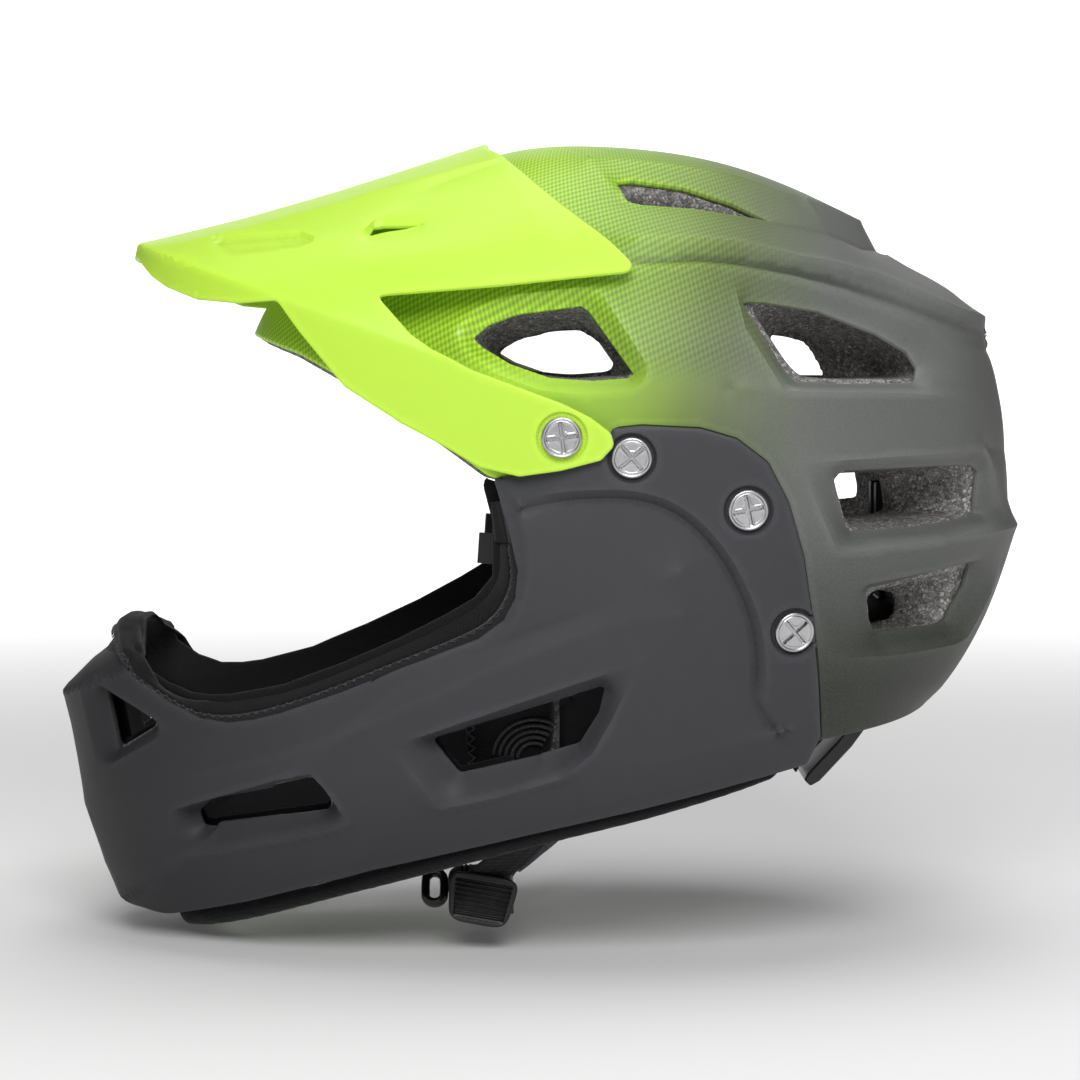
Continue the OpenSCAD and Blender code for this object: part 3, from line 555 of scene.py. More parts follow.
# ---------------------------------------------------------------- materials
class Mat:
    """Small helper that builds a node material."""
    def __init__(s, name):
        s.m = bpy.data.materials.new(name); s.m.use_nodes = True
        s.t = s.m.node_tree; s.t.nodes.clear()
        s.out = s.n("ShaderNodeOutputMaterial"); s.b = s.n("ShaderNodeBsdfPrincipled")
        s.t.links.new(s.b.outputs[0], s.out.inputs[0])
        s.co = s.n("ShaderNodeTexCoord").outputs["Object"]

    def n(s, kind, **kw):
        x = s.t.nodes.new(kind)
        for k, v in kw.items(): setattr(x, k, v)
        return x

    def put(s, sock, v):
        if isinstance(v, bpy.types.NodeSocket): s.t.links.new(v, sock)
        else: sock.default_value = v

    def set(s, **kw):
        names = {"color": "Base Color", "rough": "Roughness", "metal": "Metallic", "spec": "Specular IOR Level",
                 "coat": "Coat Weight", "coat_rough": "Coat Roughness", "sheen": "Sheen Weight",
                 "sheen_rough": "Sheen Roughness", "normal": "Normal", "sss": "Subsurface Weight", "ior": "IOR"}
        for k, v in kw.items(): s.put(s.b.inputs[names[k]], v)
        return s

    def scale(s, v, co=None):
        x = s.n("ShaderNodeMapping"); s.put(x.inputs["Vector"], co or s.co)
        x.inputs["Scale"].default_value = (v, v, v) if not isinstance(v, tuple) else v
        return x.outputs[0]

    def noise(s, scale, detail=2.0, rough=0.5, co=None, out="Fac"):
        x = s.n("ShaderNodeTexNoise"); s.put(x.inputs["Vector"], co or s.co)
        x.inputs["Scale"].default_value = scale; x.inputs["Detail"].default_value = detail
        x.inputs["Roughness"].default_value = rough
        return x.outputs[out]

    def voronoi(s, scale, feature="F1", co=None, out="Distance", rand=1.0):
        x = s.n("ShaderNodeTexVoronoi", feature=feature); s.put(x.inputs["Vector"], co or s.co)
        x.inputs["Scale"].default_value = scale; x.inputs["Randomness"].default_value = rand
        return x.outputs[out]

    def math(s, op, a, b=0.0, clamp=False, c=0.0):
        x = s.n("ShaderNodeMath", operation=op, use_clamp=clamp)
        s.put(x.inputs[0], a); s.put(x.inputs[1], b)
        if op in ("MULTIPLY_ADD", "SMOOTH_MIN", "SMOOTH_MAX", "COMPARE"): s.put(x.inputs[2], c)
        return x.outputs[0]

    def ramp(s, v, stops, interp="LINEAR"):
        x = s.n("ShaderNodeValToRGB"); x.color_ramp.interpolation = interp
        e = x.color_ramp.elements
        while len(e) < len(stops): e.new(0.5)
        for el, (p, c) in zip(e, stops):
            el.position = p; el.color = (*c, 1) if isinstance(c, tuple) else (c, c, c, 1)
        s.put(x.inputs[0], v)
        return x.outputs[0]

    def range(s, v, a, b, c=0.0, d=1.0, smooth=False):
        x = s.n("ShaderNodeMapRange", clamp=True, interpolation_type="SMOOTHSTEP" if smooth else "LINEAR")
        s.put(x.inputs[0], v)
        for i, q in zip((1, 2, 3, 4), (a, b, c, d)): s.put(x.inputs[i], q)
        return x.outputs[0]

    def mix(s, f, a, b, mode="MIX"):
        x = s.n("ShaderNodeMix", data_type="RGBA", blend_type=mode)
        s.put(x.inputs[0], f)
        for i, q in ((6, a), (7, b)):
            if isinstance(q, tuple): q = (*q, 1) if len(q) == 3 else q
            s.put(x.inputs[i], q)
        return x.outputs[2]

    def bump(s, h, strength=0.3, dist=0.0002, normal=None):
        x = s.n("ShaderNodeBump"); x.inputs["Strength"].default_value = strength
        x.inputs["Distance"].default_value = dist
        s.put(x.inputs["Height"], h)
        if normal is not None: s.put(x.inputs["Normal"], normal)
        return x.outputs[0]

    def xyz(s, co=None):
        x = s.n("ShaderNodeSeparateXYZ"); s.put(x.inputs[0], co or s.co)
        return x.outputs

    def edges(s, col, dark=0.55, light=1.35, lo=0.46, hi=0.56):
        """Edges lighter and hollows darker, from the curve of the surface: a painted highlight on the ridges and
        painted shade in the hollows.
        """
        p = s.n("ShaderNodeNewGeometry").outputs["Pointiness"]
        side = s.range(s.math("ABSOLUTE", s.xyz()[1]), 0.0015, 0.0045)
        d = s.math("MULTIPLY", s.range(p, lo, 0.497, 1.0, 0.0), side); l = s.math("MULTIPLY", s.range(p, 0.503, hi), side)
        col = s.mix(d, col, (dark, dark, dark), "MULTIPLY")
        return s.mix(l, col, (light, light, light), "MULTIPLY")

    def uv(s): return s.n("ShaderNodeUVMap", uv_map="UVMap").outputs[0]


def lin(r, g, b):
    f = lambda c: (c/12.92 if c <= 0.04045 else ((c + 0.055)/1.055)**2.4)
    return (f(r/255), f(g/255), f(b/255))


def weave(m, pitch, co=None, angle=28):
    """Fine diamond mesh, 0 to 1, on flat coordinates in metres."""
    x = m.n("ShaderNodeMapping"); m.put(x.inputs["Vector"], co or m.uv())
    x.inputs["Rotation"].default_value = (0, 0, math.radians(angle))
    k = 2*math.pi/pitch
    x.inputs["Scale"].default_value = (k, 0.6*k, k)
    o = m.xyz(x.outputs[0])
    a = m.math("SINE", o[0]); b = m.math("SINE", o[1])
    return m.math("MULTIPLY_ADD", m.math("MULTIPLY", a, b), 0.5, c=0.5)


def mat_shell():
    m = Mat("shell_paint")
    x, y, z = m.xyz()[:3]
    # the fade runs from lime at the front to dark grey at the back
    pos = m.math("MULTIPLY_ADD", z, -0.22, c=x)
    pos = m.math("ADD", pos, m.math("MULTIPLY", m.math("SUBTRACT", m.noise(9.0, 2), 0.5), 0.008))
    f = m.range(pos, -0.060, 0.060)
    col = m.ramp(f, [(0.0, lin(182, 226, 58)), (0.21, lin(156, 198, 54)), (0.45, lin(130, 160, 55)),
                     (0.58, lin(104, 125, 54)), (0.68, lin(92, 104, 66)), (0.82, lin(88, 94, 80)), (0.96, lin(87, 88, 88))])
    # the lower rear and the rear end are darkened towards near black: painted shade on the faces turned down and away
    # from the light
    low = m.math("MAXIMUM", m.math("MULTIPLY", m.range(z, -0.020, -0.085), m.range(x, 0.020, 0.060)), m.range(x, 0.108, 0.165, 0.0, 0.8))
    col = m.mix(low, col, lin(21, 23, 20))
    mesh = weave(m, 0.0021)
    fade = m.math("MULTIPLY", m.range(x, 0.062, 0.020), m.range(z, 0.020, 0.034, smooth=True))
    speck = m.math("MULTIPLY", m.range(m.voronoi(2600), 0.25, 0.55), 0.05)
    dark = m.math("MULTIPLY", m.math("SUBTRACT", 1.0, mesh), m.math("MULTIPLY", fade, 0.62))
    col = m.mix(dark, col, lin(70, 104, 24), "MULTIPLY")
    col = m.mix(m.math("MULTIPLY", speck, m.range(x, -0.01, 0.05)), col, lin(190, 200, 170), "ADD")
    # painted highlight on the ridges and painted shade in the hollows
    col = m.edges(col)
    h = m.math("MULTIPLY", mesh, fade)
    n = m.bump(h, 0.22, 0.00014, m.bump(m.noise(420, 3), 0.10, 0.00012))
    r = m.math("MULTIPLY_ADD", m.noise(60, 3), 0.08, c=m.range(x, -0.05, 0.05, 0.36, 0.48))
    return m.set(color=col, rough=r, spec=0.42, normal=n).m


def mat_bar():
    m = Mat("bar_plastic")
    g = m.noise(1500, 4, 0.6); g2 = m.noise(180, 3)
    col = m.mix(m.math("MULTIPLY", g2, 0.5), lin(60, 60, 64), lin(53, 53, 56))
    o = m.xyz()
    # the nose and the lower edge are darkened: painted shade on the faces turned away from the light
    front = m.math("MAXIMUM", m.range(o[0], -0.120, -0.195, 0.0, 0.85), m.range(o[2], -0.115, -0.175, 0.0, 0.45))
    col = m.mix(front, col, lin(37, 37, 39))
    # painted highlight on the ridges and painted shade in the hollows
    col = m.edges(col, 0.62, 1.35)
    n = m.bump(g, 0.16, 0.00012, m.bump(g2, 0.06, 0.0003))
    return m.set(color=col, rough=m.math("MULTIPLY_ADD", g, 0.12, c=0.50), spec=0.28, normal=n).m


def mat_lime():
    m = Mat("visor_plastic")
    z = m.xyz()[2]
    col = m.mix(m.math("MULTIPLY", m.noise(14, 2), 0.5), lin(186, 226, 70), lin(179, 222, 60))
    # painted highlight on the ridges and painted shade in the hollows
    col = m.edges(col, 0.8, 1.12)
    n = m.bump(m.noise(900, 3), 0.05, 0.0001)
    return m.set(color=col, rough=m.math("MULTIPLY_ADD", m.noise(90, 3), 0.08, c=0.36), spec=0.35, normal=n).m


def mat_foam():
    m = Mat("foam")
    bead = m.voronoi(740, "DISTANCE_TO_EDGE"); cell = m.voronoi(740, "F1", out="Color")
    o = m.xyz(cell)
    big = m.noise(60, 3)
    tone = m.math("MULTIPLY_ADD", big, 0.35, c=m.math("MULTIPLY", o[0], 0.65))
    col = m.mix(m.range(tone, 0.15, 0.85), lin(96, 95, 95), lin(164, 161, 158))
    light = m.math("MULTIPLY", m.range(o[1], 0.55, 0.95), m.range(bead, 0.02, 0.25))
    col = m.mix(light, col, lin(196, 193, 190))
    col = m.mix(m.range(bead, 0.10, 0.0, 0.0, 0.55), col, lin(52, 52, 52))
    col = m.mix(m.range(m.noise(1500, 4, 0.7), 0.50, 0.68), col, lin(46, 46, 46))
    n = m.bump(m.math("MINIMUM", bead, 0.30), 0.55, 0.0012)
    n = m.bump(m.noise(900, 2), 0.12, 0.0002, n)
    return m.set(color=col, rough=0.74, spec=0.3, normal=n).m


def mat_knit(name, c1, c2, pitch=0.0011, rough=0.92, sheen=0.25, strength=0.6):
    m = Mat(name)
    k = 2*math.pi/pitch
    o = m.xyz(m.scale(k))
    a = m.math("SINE", m.math("ADD", o[0], o[1])); b = m.math("SINE", m.math("SUBTRACT", o[2], m.math("MULTIPLY", o[0], 0.6)))
    w = m.math("MULTIPLY_ADD", m.math("MULTIPLY", a, b), 0.5, c=0.5)
    fz = m.noise(2200, 3, 0.7)
    col = m.mix(m.math("MULTIPLY_ADD", w, 0.6, c=m.math("MULTIPLY", fz, 0.4)), c1, c2)
    n = m.bump(w, strength, 0.00022, m.bump(fz, 0.35, 0.0003))
    return m.set(color=col, rough=rough, spec=0.25, sheen=sheen, sheen_rough=0.45, normal=n).m


def mat_web(name="webbing", c1=lin(20, 20, 22), c2=lin(44, 44, 47), pitch=0.0016, ribs=0.0032):
    m = Mat(name)
    o = m.xyz(m.uv())
    warp = m.math("SINE", m.math("MULTIPLY", o[1], 2*math.pi/pitch))
    tw = m.math("SINE", m.math("MULTIPLY", m.math("ADD", o[0], m.math("MULTIPLY", o[1], 0.55)), 2*math.pi/0.0021))
    w = m.math("MULTIPLY_ADD", m.math("MULTIPLY", warp, tw), 0.5, c=0.5)
    r = m.math("ABSOLUTE", m.math("SINE", m.math("MULTIPLY", o[1], math.pi/ribs)))
    fz = m.noise(2600, 3, 0.7)
    col = m.mix(m.math("MULTIPLY_ADD", w, 0.7, c=m.math("MULTIPLY", fz, 0.3)), c1, c2)
    n = m.bump(w, 0.7, 0.00025, m.bump(r, 0.5, 0.0003, m.bump(fz, 0.3, 0.0002)))
    return m.set(color=col, rough=0.78, spec=0.3, sheen=0.2, sheen_rough=0.4, normal=n).m


def mat_plastic(name, c, rough=0.45, grain=1200, strength=0.12, spec=0.45, var=0.12):
    m = Mat(name)
    g = m.noise(grain, 4, 0.6)
    d = tuple(q*(1 - var) for q in c)
    col = m.mix(m.noise(130, 3), c, d)
    return m.set(color=col, rough=m.math("MULTIPLY_ADD", g, 0.12, c=rough), spec=spec, normal=m.bump(g, strength, 0.00012)).m


def mat_metal(name, c, rough=0.18, brushed=False):
    m = Mat(name)
    s = m.noise(3000 if not brushed else 900, 3, 0.6)
    return m.set(color=m.mix(s, c, tuple(q*0.88 for q in c)), metal=1.0,
                 rough=m.math("MULTIPLY_ADD", s, 0.10, c=rough), normal=m.bump(s, 0.05, 0.00005)).m


M_SHELL, M_BAR, M_LIME, M_FOAM = mat_shell(), mat_bar(), mat_lime(), mat_foam()
M_PAD = mat_knit("pad_fabric", lin(11, 11, 12), lin(34, 34, 36), 0.0013, sheen=0.12)
M_LINING = mat_knit("lining_fabric", lin(8, 8, 9), lin(27, 27, 29), 0.0011, sheen=0.08)
M_BIND = mat_knit("binding_fabric", lin(20, 20, 21), lin(46, 46, 48), 0.0009, sheen=0.12)
M_WEB = mat_web()
M_FELT = mat_knit("strap_pad", lin(44, 46, 50), lin(74, 77, 82), 0.0009, 0.96, 0.5, 0.35)
M_THREAD = mat_web("thread", lin(30, 30, 32), lin(84, 84, 88), 0.0005, 0.001)
M_CHROME = mat_metal("screw_metal", (0.52, 0.52, 0.53), 0.27)
M_BRASS = mat_metal("insert_brass", (0.72, 0.55, 0.28), 0.28, True)
M_WASHER = mat_plastic("washer_rubber", lin(30, 30, 31), 0.7, 900, 0.3, 0.3)
M_FIT = mat_plastic("fit_plastic", lin(34, 34, 36), 0.42)
M_CRADLE = mat_plastic("cradle_plastic", lin(38, 42, 38), 0.26, 1500, 0.12)
M_DIAL = mat_plastic("dial_rubber", lin(28, 28, 30), 0.62, 700, 0.3, 0.35)
M_PINION = mat_plastic("pinion_plastic", lin(168, 166, 158), 0.4)
M_BUCKLE = mat_plastic("buckle_plastic", lin(26, 26, 28), 0.36, 1400, 0.14, 0.5)
M_KEEPER = mat_plastic("keeper_rubber", lin(16, 16, 17), 0.14, 300, 0.05, 0.6)

# ---------------------------------------------------------------- outline data (side view, mm)
RIM = [(-160,43),(-143,40),(-124,33.3),(-105,23.4),(-87,12.2),(-72,3),(-56,-8.5),(-35,-15.5),(-10,-23),
  (12,-36),(27,-58),(34,-84),(42,-101),(56,-106),(61,-103),(76,-101),(100,-98),(150,-92)]
VENT_A = [(-63,39),(-57,44),(-47,48),(-24,51),(-21,49),(-5,26),(-7,24),(-20,23),(-35,24),(-49,29),(-59,35)]
VENT_A_IN = [(-53,30.5),(-46,34.5),(-28,37.6),(-20,37.2),(-7,26.2),(-30,24.6),(-46,26.4)]
VENT_B = [(31,52),(40,52),(60,49),(81,42),(94,35),(98,29),(97,23),(70,23),(51,24),(47,28),(38,42)]
VENT_B_IN = [(49.5,31.5),(56,35.8),(70,37.2),(80,34),(85.5,28.5),(86,24.5),(57,23.6)]
VENT_C = [(63,-9),(69,-7),(117,-6),(122,-9),(123,-26),(95,-29),(71,-30),(69,-27)]
VENT_C_IN = [(64,-12.5),(76,-12.5),(78,-22.5),(67,-23.5)]
VENT_D = [(77,-50),(121,-42),(119,-53),(112,-66),(109,-67),(82,-68),(79,-62)]
VENT_D_IN = [(74,-54),(84,-54),(84,-64),(77,-64)]
VENT_E = [(-14,56),(-2,58),(20,59),(44,53),(33,63),(-3,69),(-9,67)]
SLOT = [(-11.6,96.2),(-4.8,97.0),(13.7,94.4),(31.5,88.4),(46.8,80.6),(37.7,82.3),(16.9,85.3),(-1.6,86.5),(-7.2,87.6)]
BAR_EDGE = [(-216,-74),(-199,-74.5),(-192,-79),(-184.7,-85.5),(-172.5,-93.7),(-161,-98.6),(-150,-99.8),(-140,-98.2),(-130,-95.3),(-108,-87),
  (-87,-78),(-59,-67),(-50,-60),(-46,-52),(-45,-42),(-48,-28),(-53,-11),(-45,-10),(-31,-7),(-18,-3),
  (-13,1),(-12.5,6),(-3,7),(17,6),(29,2.5),(39.5,-5.5),(46.5,-19),(52,-38),(55.5,-60),(58,-81),
  (60,-102),(56,-112),(18,-121.8),(-52,-139),(-99,-151),(-144,-164.5),(-176,-172.5),(-200,-175),(-235,-150)]
LINING_EDGE = [(-215,-67.5),(-198,-67.8),(-189,-68.3),(-186.5,-71.8),(-184.3,-76.4),(-179.4,-83),(-174,-89),(-166,-92.7),(-158,-93),(-150,-92.2),
  (-130,-87.7),(-108,-79),(-87,-69.5),(-70,-60.5),(-60,-54.5),(-53,-46),(-53,-26),(-57,-11),(-49,-13),(-44,-30),
  (-41,-60),(-48,-110),(-60,-139),(-99,-149),(-144,-162),(-176,-169),(-200,-171),(-235,-150)]
FOAM_EDGE = [(-215,-96),(-190,-97.5),(-176,-100.5),(-165,-103.5),(-147,-104.5),(-130,-99.5),(-87,-81),(-59,-70),(-46,-60),
  (-41,-50),(-30,-70),(-30,-130),(-52,-138),(-99,-151),(-144,-163),(-176,-169),(-200,-171),(-235,-148)]
VENT_F = [(-78,-103),(-17,-83),(-15,-84),(-17,-93),(-24,-105),(-36,-109),(-66,-117),(-68,-116)]
VENT_G = [(-165,-134),(-158,-128),(-119,-118),(-115,-120),(-112,-129),(-115,-132),(-155,-140),(-163,-140)]
VENT_H = [(-200,-89.2),(-176,-101.6),(-195.4,-114.5)]
BAR_SCREWS = [(-6.5,-3),(33.5,-21),(50,-63.5)]
PEAK_EDGE = [(-230,60),(-184,68),(-177,61),(-171,57),(-159,52.5),(-143,51),(-129,52),(-121,41),
  (-105,22),(-86,10),(-72,2.5),(-58.5,-5.5),(-45,-8.5),(-31,-6.5),(-17.5,-3),(-13.5,1.5),(-14.5,5),
  (-21,10),(-31,15),(-62,26.5),(-76,34),(-83,39),(-96,53.5),(-52,57),(-5,62),(-14,71),(-31,84.5),
  (-45,97),(-58,107),(-60,125),(-230,125)]
PEAK_SLOT = [(-99,75),(-95,79),(-81,78.5)]
PIVOT = (-30.5, 4)


def circle(c, r, n=40):
    a = np.linspace(0, 2*math.pi, n, endpoint=False)
    return np.c_[c[0] + r*np.cos(a), c[1] + r*np.sin(a)]


def steep(lo, hi, zlo, zhi):
    """Heights that change evenly from lo at z = zlo to hi at z = zhi."""
    return lambda p: np.interp(p[:, 1], [zlo, zhi], [lo, hi])


# ---------------------------------------------------------------- outer shell
def shell_lines(shape=True):
    rear_top = [(78.2, 78.8), (86, 83)]
    crest = Line([(-52.5,101.8),(-30.8,102.5),(-9.1,102),(12.6,99.5),(34.4,95.3),(48.8,89.1),(55.4,88.3),
                  (61.1,86.3),(70.1,82.5),(78.2,78.8),(86,82)], [0.2,0.9,1.2,1.4,1.5,1.9,2.4,2.9,3.4,3.8,4.0])
    top = Line([(-58,0),(-40,0),(-20,0),(5,0),(30,0),(55,0),(70,0),(80,0)], [-0.4,-1.0,-1.4,-1.4,-1.2,-0.2,1.2,2.8], plan=True)
    deck = Line([(93,0),(98,0),(106,0),(116,0),(124,0),(130,0)], [0.6,1.0,1.4,2.4,2.6,2.6], plan=True)
    deck2 = Line([(92,-26),(98,-26),(106,-25),(115,-23),(122,-20),(127,-16)], [0.2,0.8,1.4,2.4,2.6,2.6], plan=True)
    flare = Line([(57,87.3),(66.3,75.9),(80.6,71.7),(92,72)], [3.4,-0.8,-1.8,-1.8])
    low = Line([(45.3,80.5),(66.3,75.9)], [-1.6,-0.6])
    front = Line([(-20.7,102.4),(-19.3,99.5),(-15.5,96),(-11.7,92.6)], [2.0,1.2,0.2,-1.0])
    scoop = Line([(-30.9,83.6),(-16.8,85),(-7.2,87.4)], [0,-0.8,-2.0])
    l2a = Line([(-14,72.4),(-3.1,71.9),(18,71.3),(32.1,70),(53.6,64.8),(59.9,64.2),(68.4,62.2),(82,58.5),(98,51.5),
                (112,45.8),(122,43.5),(136,42)], [0,2.4,3.0,3.1,3.2,3.3,3.5,3.8,4.3,4.9,5.4,5.6])
    l2b = Line([(-12,65),(-3.2,64.5),(17.8,65.6),(31.9,64.6),(52.9,60.5),(67.9,57.5),(87.2,51.3),(103.9,45),(118.3,40.1),(138,37)],
               [0,-0.4,-0.8,-0.9,-0.9,-0.8,-0.4,0.2,0.8,1.4])
    l3 = Line([(-12,61.4),(-3.3,61.6),(17.7,63.1),(31.7,61.7),(52.7,58),(70.1,52.5),(89.9,45.6),(106.8,39.3),(119.3,36.1),(138,32)],
              [0,1.2,1.7,1.8,1.8,1.7,1.3,0.5,-0.4,-1.2])
    bled = Line([(27,20.6),(30.8,20.9),(45.8,19.5),(65.9,19.1),(87.8,18.6),(107.2,17.3),(120.7,16.3)], [0.2,1.3,1.9,2.0,2.0,1.8,1.2])
    blef = Line([(29.7,54.8),(32.8,40.8),(41.3,27),(45.8,19.5)], [1.0,1.4,1.7,1.9])
    bbac = Line([(98.4,41.6),(108.2,33.9),(115.7,31),(118.1,21.4),(120.7,16.3)], [0.4,0.8,0.9,0.8,0.6])
    qc = Line([(52.7,-6.7),(55.9,-4.7),(83.9,-3.3),(121,-1.5),(124.5,-9.2),(127,-23.8),(129.5,-28),(102.8,-32.8),(87.9,-33.6),
               (66.5,-36),(63.9,-34.9),(58.1,-21.3)], [1.6,1.8,1.8,1.7,1.8,2.4,3.2,3.3,3.2,3.0,2.8,1.8], closed=True)
    ledge = Line([(102.8,-32.8),(125.4,-31),(146,-30.3)], [3.3,4.2,5.6])
    shelf = Line([(121,-1.5),(146,-5)], [-0.2,-1.0])
    flat = Line([(131,-10),(134,-20),(137,-25.5),(146,-25)], [0.6,0.6,0.9,0.6])
    qd = Line([(58.5,-49.6),(75.4,-47.9),(122.2,-41.2),(131,-45),(124.1,-55.1),(115,-68.9),(109.9,-70.9),(82.1,-72.9),
               (62.7,-73.2),(59.5,-59.9)], [0.3,-0.1,-0.4,0.8,2.4,2.9,2.9,2.8,2.2,1.2], closed=True)
    holes = [Line(fillet(VENT_A, 4), lambda p: np.interp(p[:, 1], [24, 50], [-1.8, -2.4]), hole=True),
             Line(fillet(VENT_B, 3), lambda p: np.interp(p[:, 1], [23, 50], [-4.2, -1.2]), hole=True),
             Line(fillet(VENT_C, 3), lambda p: np.interp(p[:, 1], [-29, -7], [-4.8, -1.8]), hole=True),
             Line(fillet(VENT_D, 3), lambda p: np.interp(p[:, 1], [-68, -45], [-4.8, -3.2]), hole=True),
             Line(fillet(SLOT, 2), lambda p: np.interp(p[:, 0], [-12, 46], [-1.8, -1.8]), hole=True)]
    va = Line(fillet([(-68,40),(-60,48),(-49,52.5),(-22,55.5),(-16,52),(0,27),(-5,20),(-22,18.5),(-38,20),(-53,25.5),(-64,33)], 6), 0.9, closed=True)
    return [crest, top, deck, deck2, flare, low, front, scoop, l2a, l2b, l3, bled, blef, bbac, qc, ledge, shelf, flat, qd, va] + holes


RIM_KEEP = RIM + [(190,-92),(190,200),(-230,200),(-230,40)]
def widen(p, d):
    """Outline moved outward by d."""
    q = arr(p); t = unit(np.roll(q, -1, 0) - np.roll(q, 1, 0)); n = np.c_[t[:, 1], -t[:, 0]]
    area = 0.5*np.sum(q[:, 0]*np.roll(q[:, 1], -1) - np.roll(q[:, 0], -1)*q[:, 1])
    return q + n*d*(1 if area > 0 else -1)


def calm_seam(sheet, h, reach=5.0):
    """Evens the heights next to the centre plane, where the two halves meet."""
    w = np.clip(1.3 - np.abs(sheet.P[:, 1])/reach, 0, 1)
    return h*(1 - w) + sheet.smooth(h, 4, 0.5)*w


PLATE_RIM = resample(fillet([p for p in BAR_EDGE if p[0] > -60 and p[1] > -126], 4), 2.5)
gap_lines = [Line(widen(PLATE_RIM, d), None, closed=True) for d in (0.3, 1.5)]
shell_sheet = Sheet(SHELL, Line(RIM_KEEP, closed=True), shell_lines() + gap_lines, grid=3.2, fine=1.6, reach=6)
h = shell_sheet.field(14.0)
shell_h = calm_seam(shell_sheet, shell_sheet.smooth(h, 1, 0.12))
# the part that lies under the chin bar's plate keeps to the plain form
under = inside(shell_sheet.uv, Line(BAR_EDGE, closed=True).map(SHELL, 2)[0])
shell_h = np.where(under, np.minimum(shell_h, 0) - 1.3, shell_h)
# a narrow shadow gap runs round the plate
gd, _ = near_line(shell_sheet.uv, *Line(widen(PLATE_RIM, 0.3), None, closed=True).map(SHELL, 1), True, 4)
shell_h -= np.where(under, 0, 1.5*np.clip(1 - gd/1.0, 0, 1))
V, F, UV = shell_sheet.solid(shell_h, 2.6)
shell_o = finish_piece(mesh_obj("shell_skin", V, F, UV, 22), M_SHELL, "helmet", ["outer_shell"])

# ---------------------------------------------------------------- chin bar
def bar_lines():
    # the border with the screws stands proud of the plate's middle
    q = smooth_line([(-46,-21),(-31.1,-18),(-17.3,-17),(-7,-17.3),(3.3,-19.7),(13.7,-25.9),(23.4,-36.6),(30.4,-48.8),
                     (35.1,-61.1),(37,-73.5),(37,-84.3)], 4.0)
    q = np.vstack([q, [(36.8,-88),(40.5,-94),(46,-101),(52,-108)]])
    t = unit(np.gradient(q, axis=0)); out = q + np.c_[-t[:, 1], t[:, 0]]*3.0
    k = np.linspace(0, 1, len(q)); e = np.clip(np.minimum(k*9, (1 - k)*7), 0, 1)
    step_in = Line(q.tolist(), (-1.5*e).tolist())
    step_out = Line(out.tolist(), (0.2 + 1.1*e).tolist())
    rim_in = Line([(-51.8,-10.2),(-46.6,-16.1),(-44.6,-19.9),(-42.1,-31.6),(-41.5,-42),(-44.2,-52.5),(-47.7,-60.2),(-52.6,-66.6)],
                  [0.3,0.6,1.0,1.3,1.4,1.2,0.9,0.5])
    cra = Line([(-160,-99.3),(-122.8,-89.5),(-86.9,-79.5),(-62.4,-70.9),(-51.9,-66.6),(-31.1,-59.4),(-17.3,-53.7),(0,-46.3),(10.3,-42.5)],
               [0.3,0.3,0.3,0.4,0.5,0.7,1.0,1.4,1.7])
    crb = Line([(-205,-131),(-193.2,-130.2),(-176.4,-125.3),(-160.5,-117.8),(-145.3,-113.4),(-126.7,-108),(-112.1,-102),(-94.2,-94.3),
                (-76.5,-86.4),(-58.9,-78),(-44.9,-71.8),(-31.1,-66.7),(-13.8,-61),(10.4,-56.4)],
               [2.2,2.6,2.9,3.3,3.6,3.8,3.9,3.9,3.8,3.6,3.4,3.0,2.6,2.2])
    crc = Line([(-214,-158.5),(-195.4,-157.8),(-175.7,-152.3),(-146.6,-145.6),(-124.1,-140.1),(-103.2,-134.9),(-87.6,-131),(-73,-128),
                (-52.1,-122.8),(-31,-116.7),(-3,-110),(18,-105.1),(50,-98)],
               [4.6,5.0,3.6,2.7,2.4,2.3,2.3,2.3,2.2,2.0,1.8,1.6,1.4])
    qf = Line([(-90.8,-103.7),(-76.6,-99.4),(-45,-87.7),(-17.2,-77.9),(-2.7,-72.3),(-6.8,-80.4),(-12.9,-92.9),(-19.8,-105.6),
               (-31,-114.6),(-52.1,-121.4),(-73,-126.4)], 3.1, closed=True)
    qg = Line([(-169.1,-131.4),(-145.5,-123),(-123.2,-115.2),(-118.5,-114.3),(-110.8,-123.9),(-105,-133),(-124.1,-138.4),
               (-146.6,-143.8),(-173.7,-150.2)], 3.2, closed=True)
    qh = Line([(-207.5,-82.5),(-169.8,-102.3),(-200.2,-121)], [2.4,1.4,1.8], closed=True)
    nose = Line([(-195.4,-157.8),(-204,-140),(-210,-134)], [5.2,3.8,2.2])
    nose2 = Line([(-195.4,-157.8),(-190,-170),(-188,-176)], [5.2,5.4,5.2])
    ntop = Line([(-189.5,-81.5),(-196.5,-83),(-201.7,-85.8),(-209,-92.2),(-222,-100)], [0.8,2.0,2.4,1.8,1.2])
    hf = Line(fillet(VENT_F, 3), lambda p: np.interp(p[:, 1], [-117, -84], [-5.4, -4.0]), hole=True)
    hg = Line(fillet(VENT_G, 2.5), lambda p: np.interp(p[:, 1], [-140, -119], [-4.8, -3.4]), hole=True)
    hh = Line(fillet(VENT_H, 2.0), -2.6, hole=True)
    out = [step_in, step_out, rim_in, cra, crb, crc, qf, qg, qh, nose, nose2, ntop, hf, hg, hh]
    for c in BAR_SCREWS:
        out += [Line(circle(c, 8.7), 1.1, closed=True), Line(circle(c, 7.6), -0.85, closed=True), Line(circle(c, 4.0, 20), -0.85, closed=True)]
    return out


def bar_rim(p):
    """The lower front corner and the nose stand a little proud of the plain form."""
    low = np.clip((-p[:, 0] - 60)/110, 0, 1)*np.clip((-p[:, 1] - 120)/25, 0, 1)
    top = np.clip((-p[:, 0] - 172)/14, 0, 1)*np.clip((p[:, 1] + 100)/15, 0, 1)
    plate = np.clip((p[:, 0] + 40)/12, 0, 1)*np.clip((p[:, 1] + 104)/10, 0, 1)
    return 5.2*low**1.6 + 1.0*top + 1.0*plate


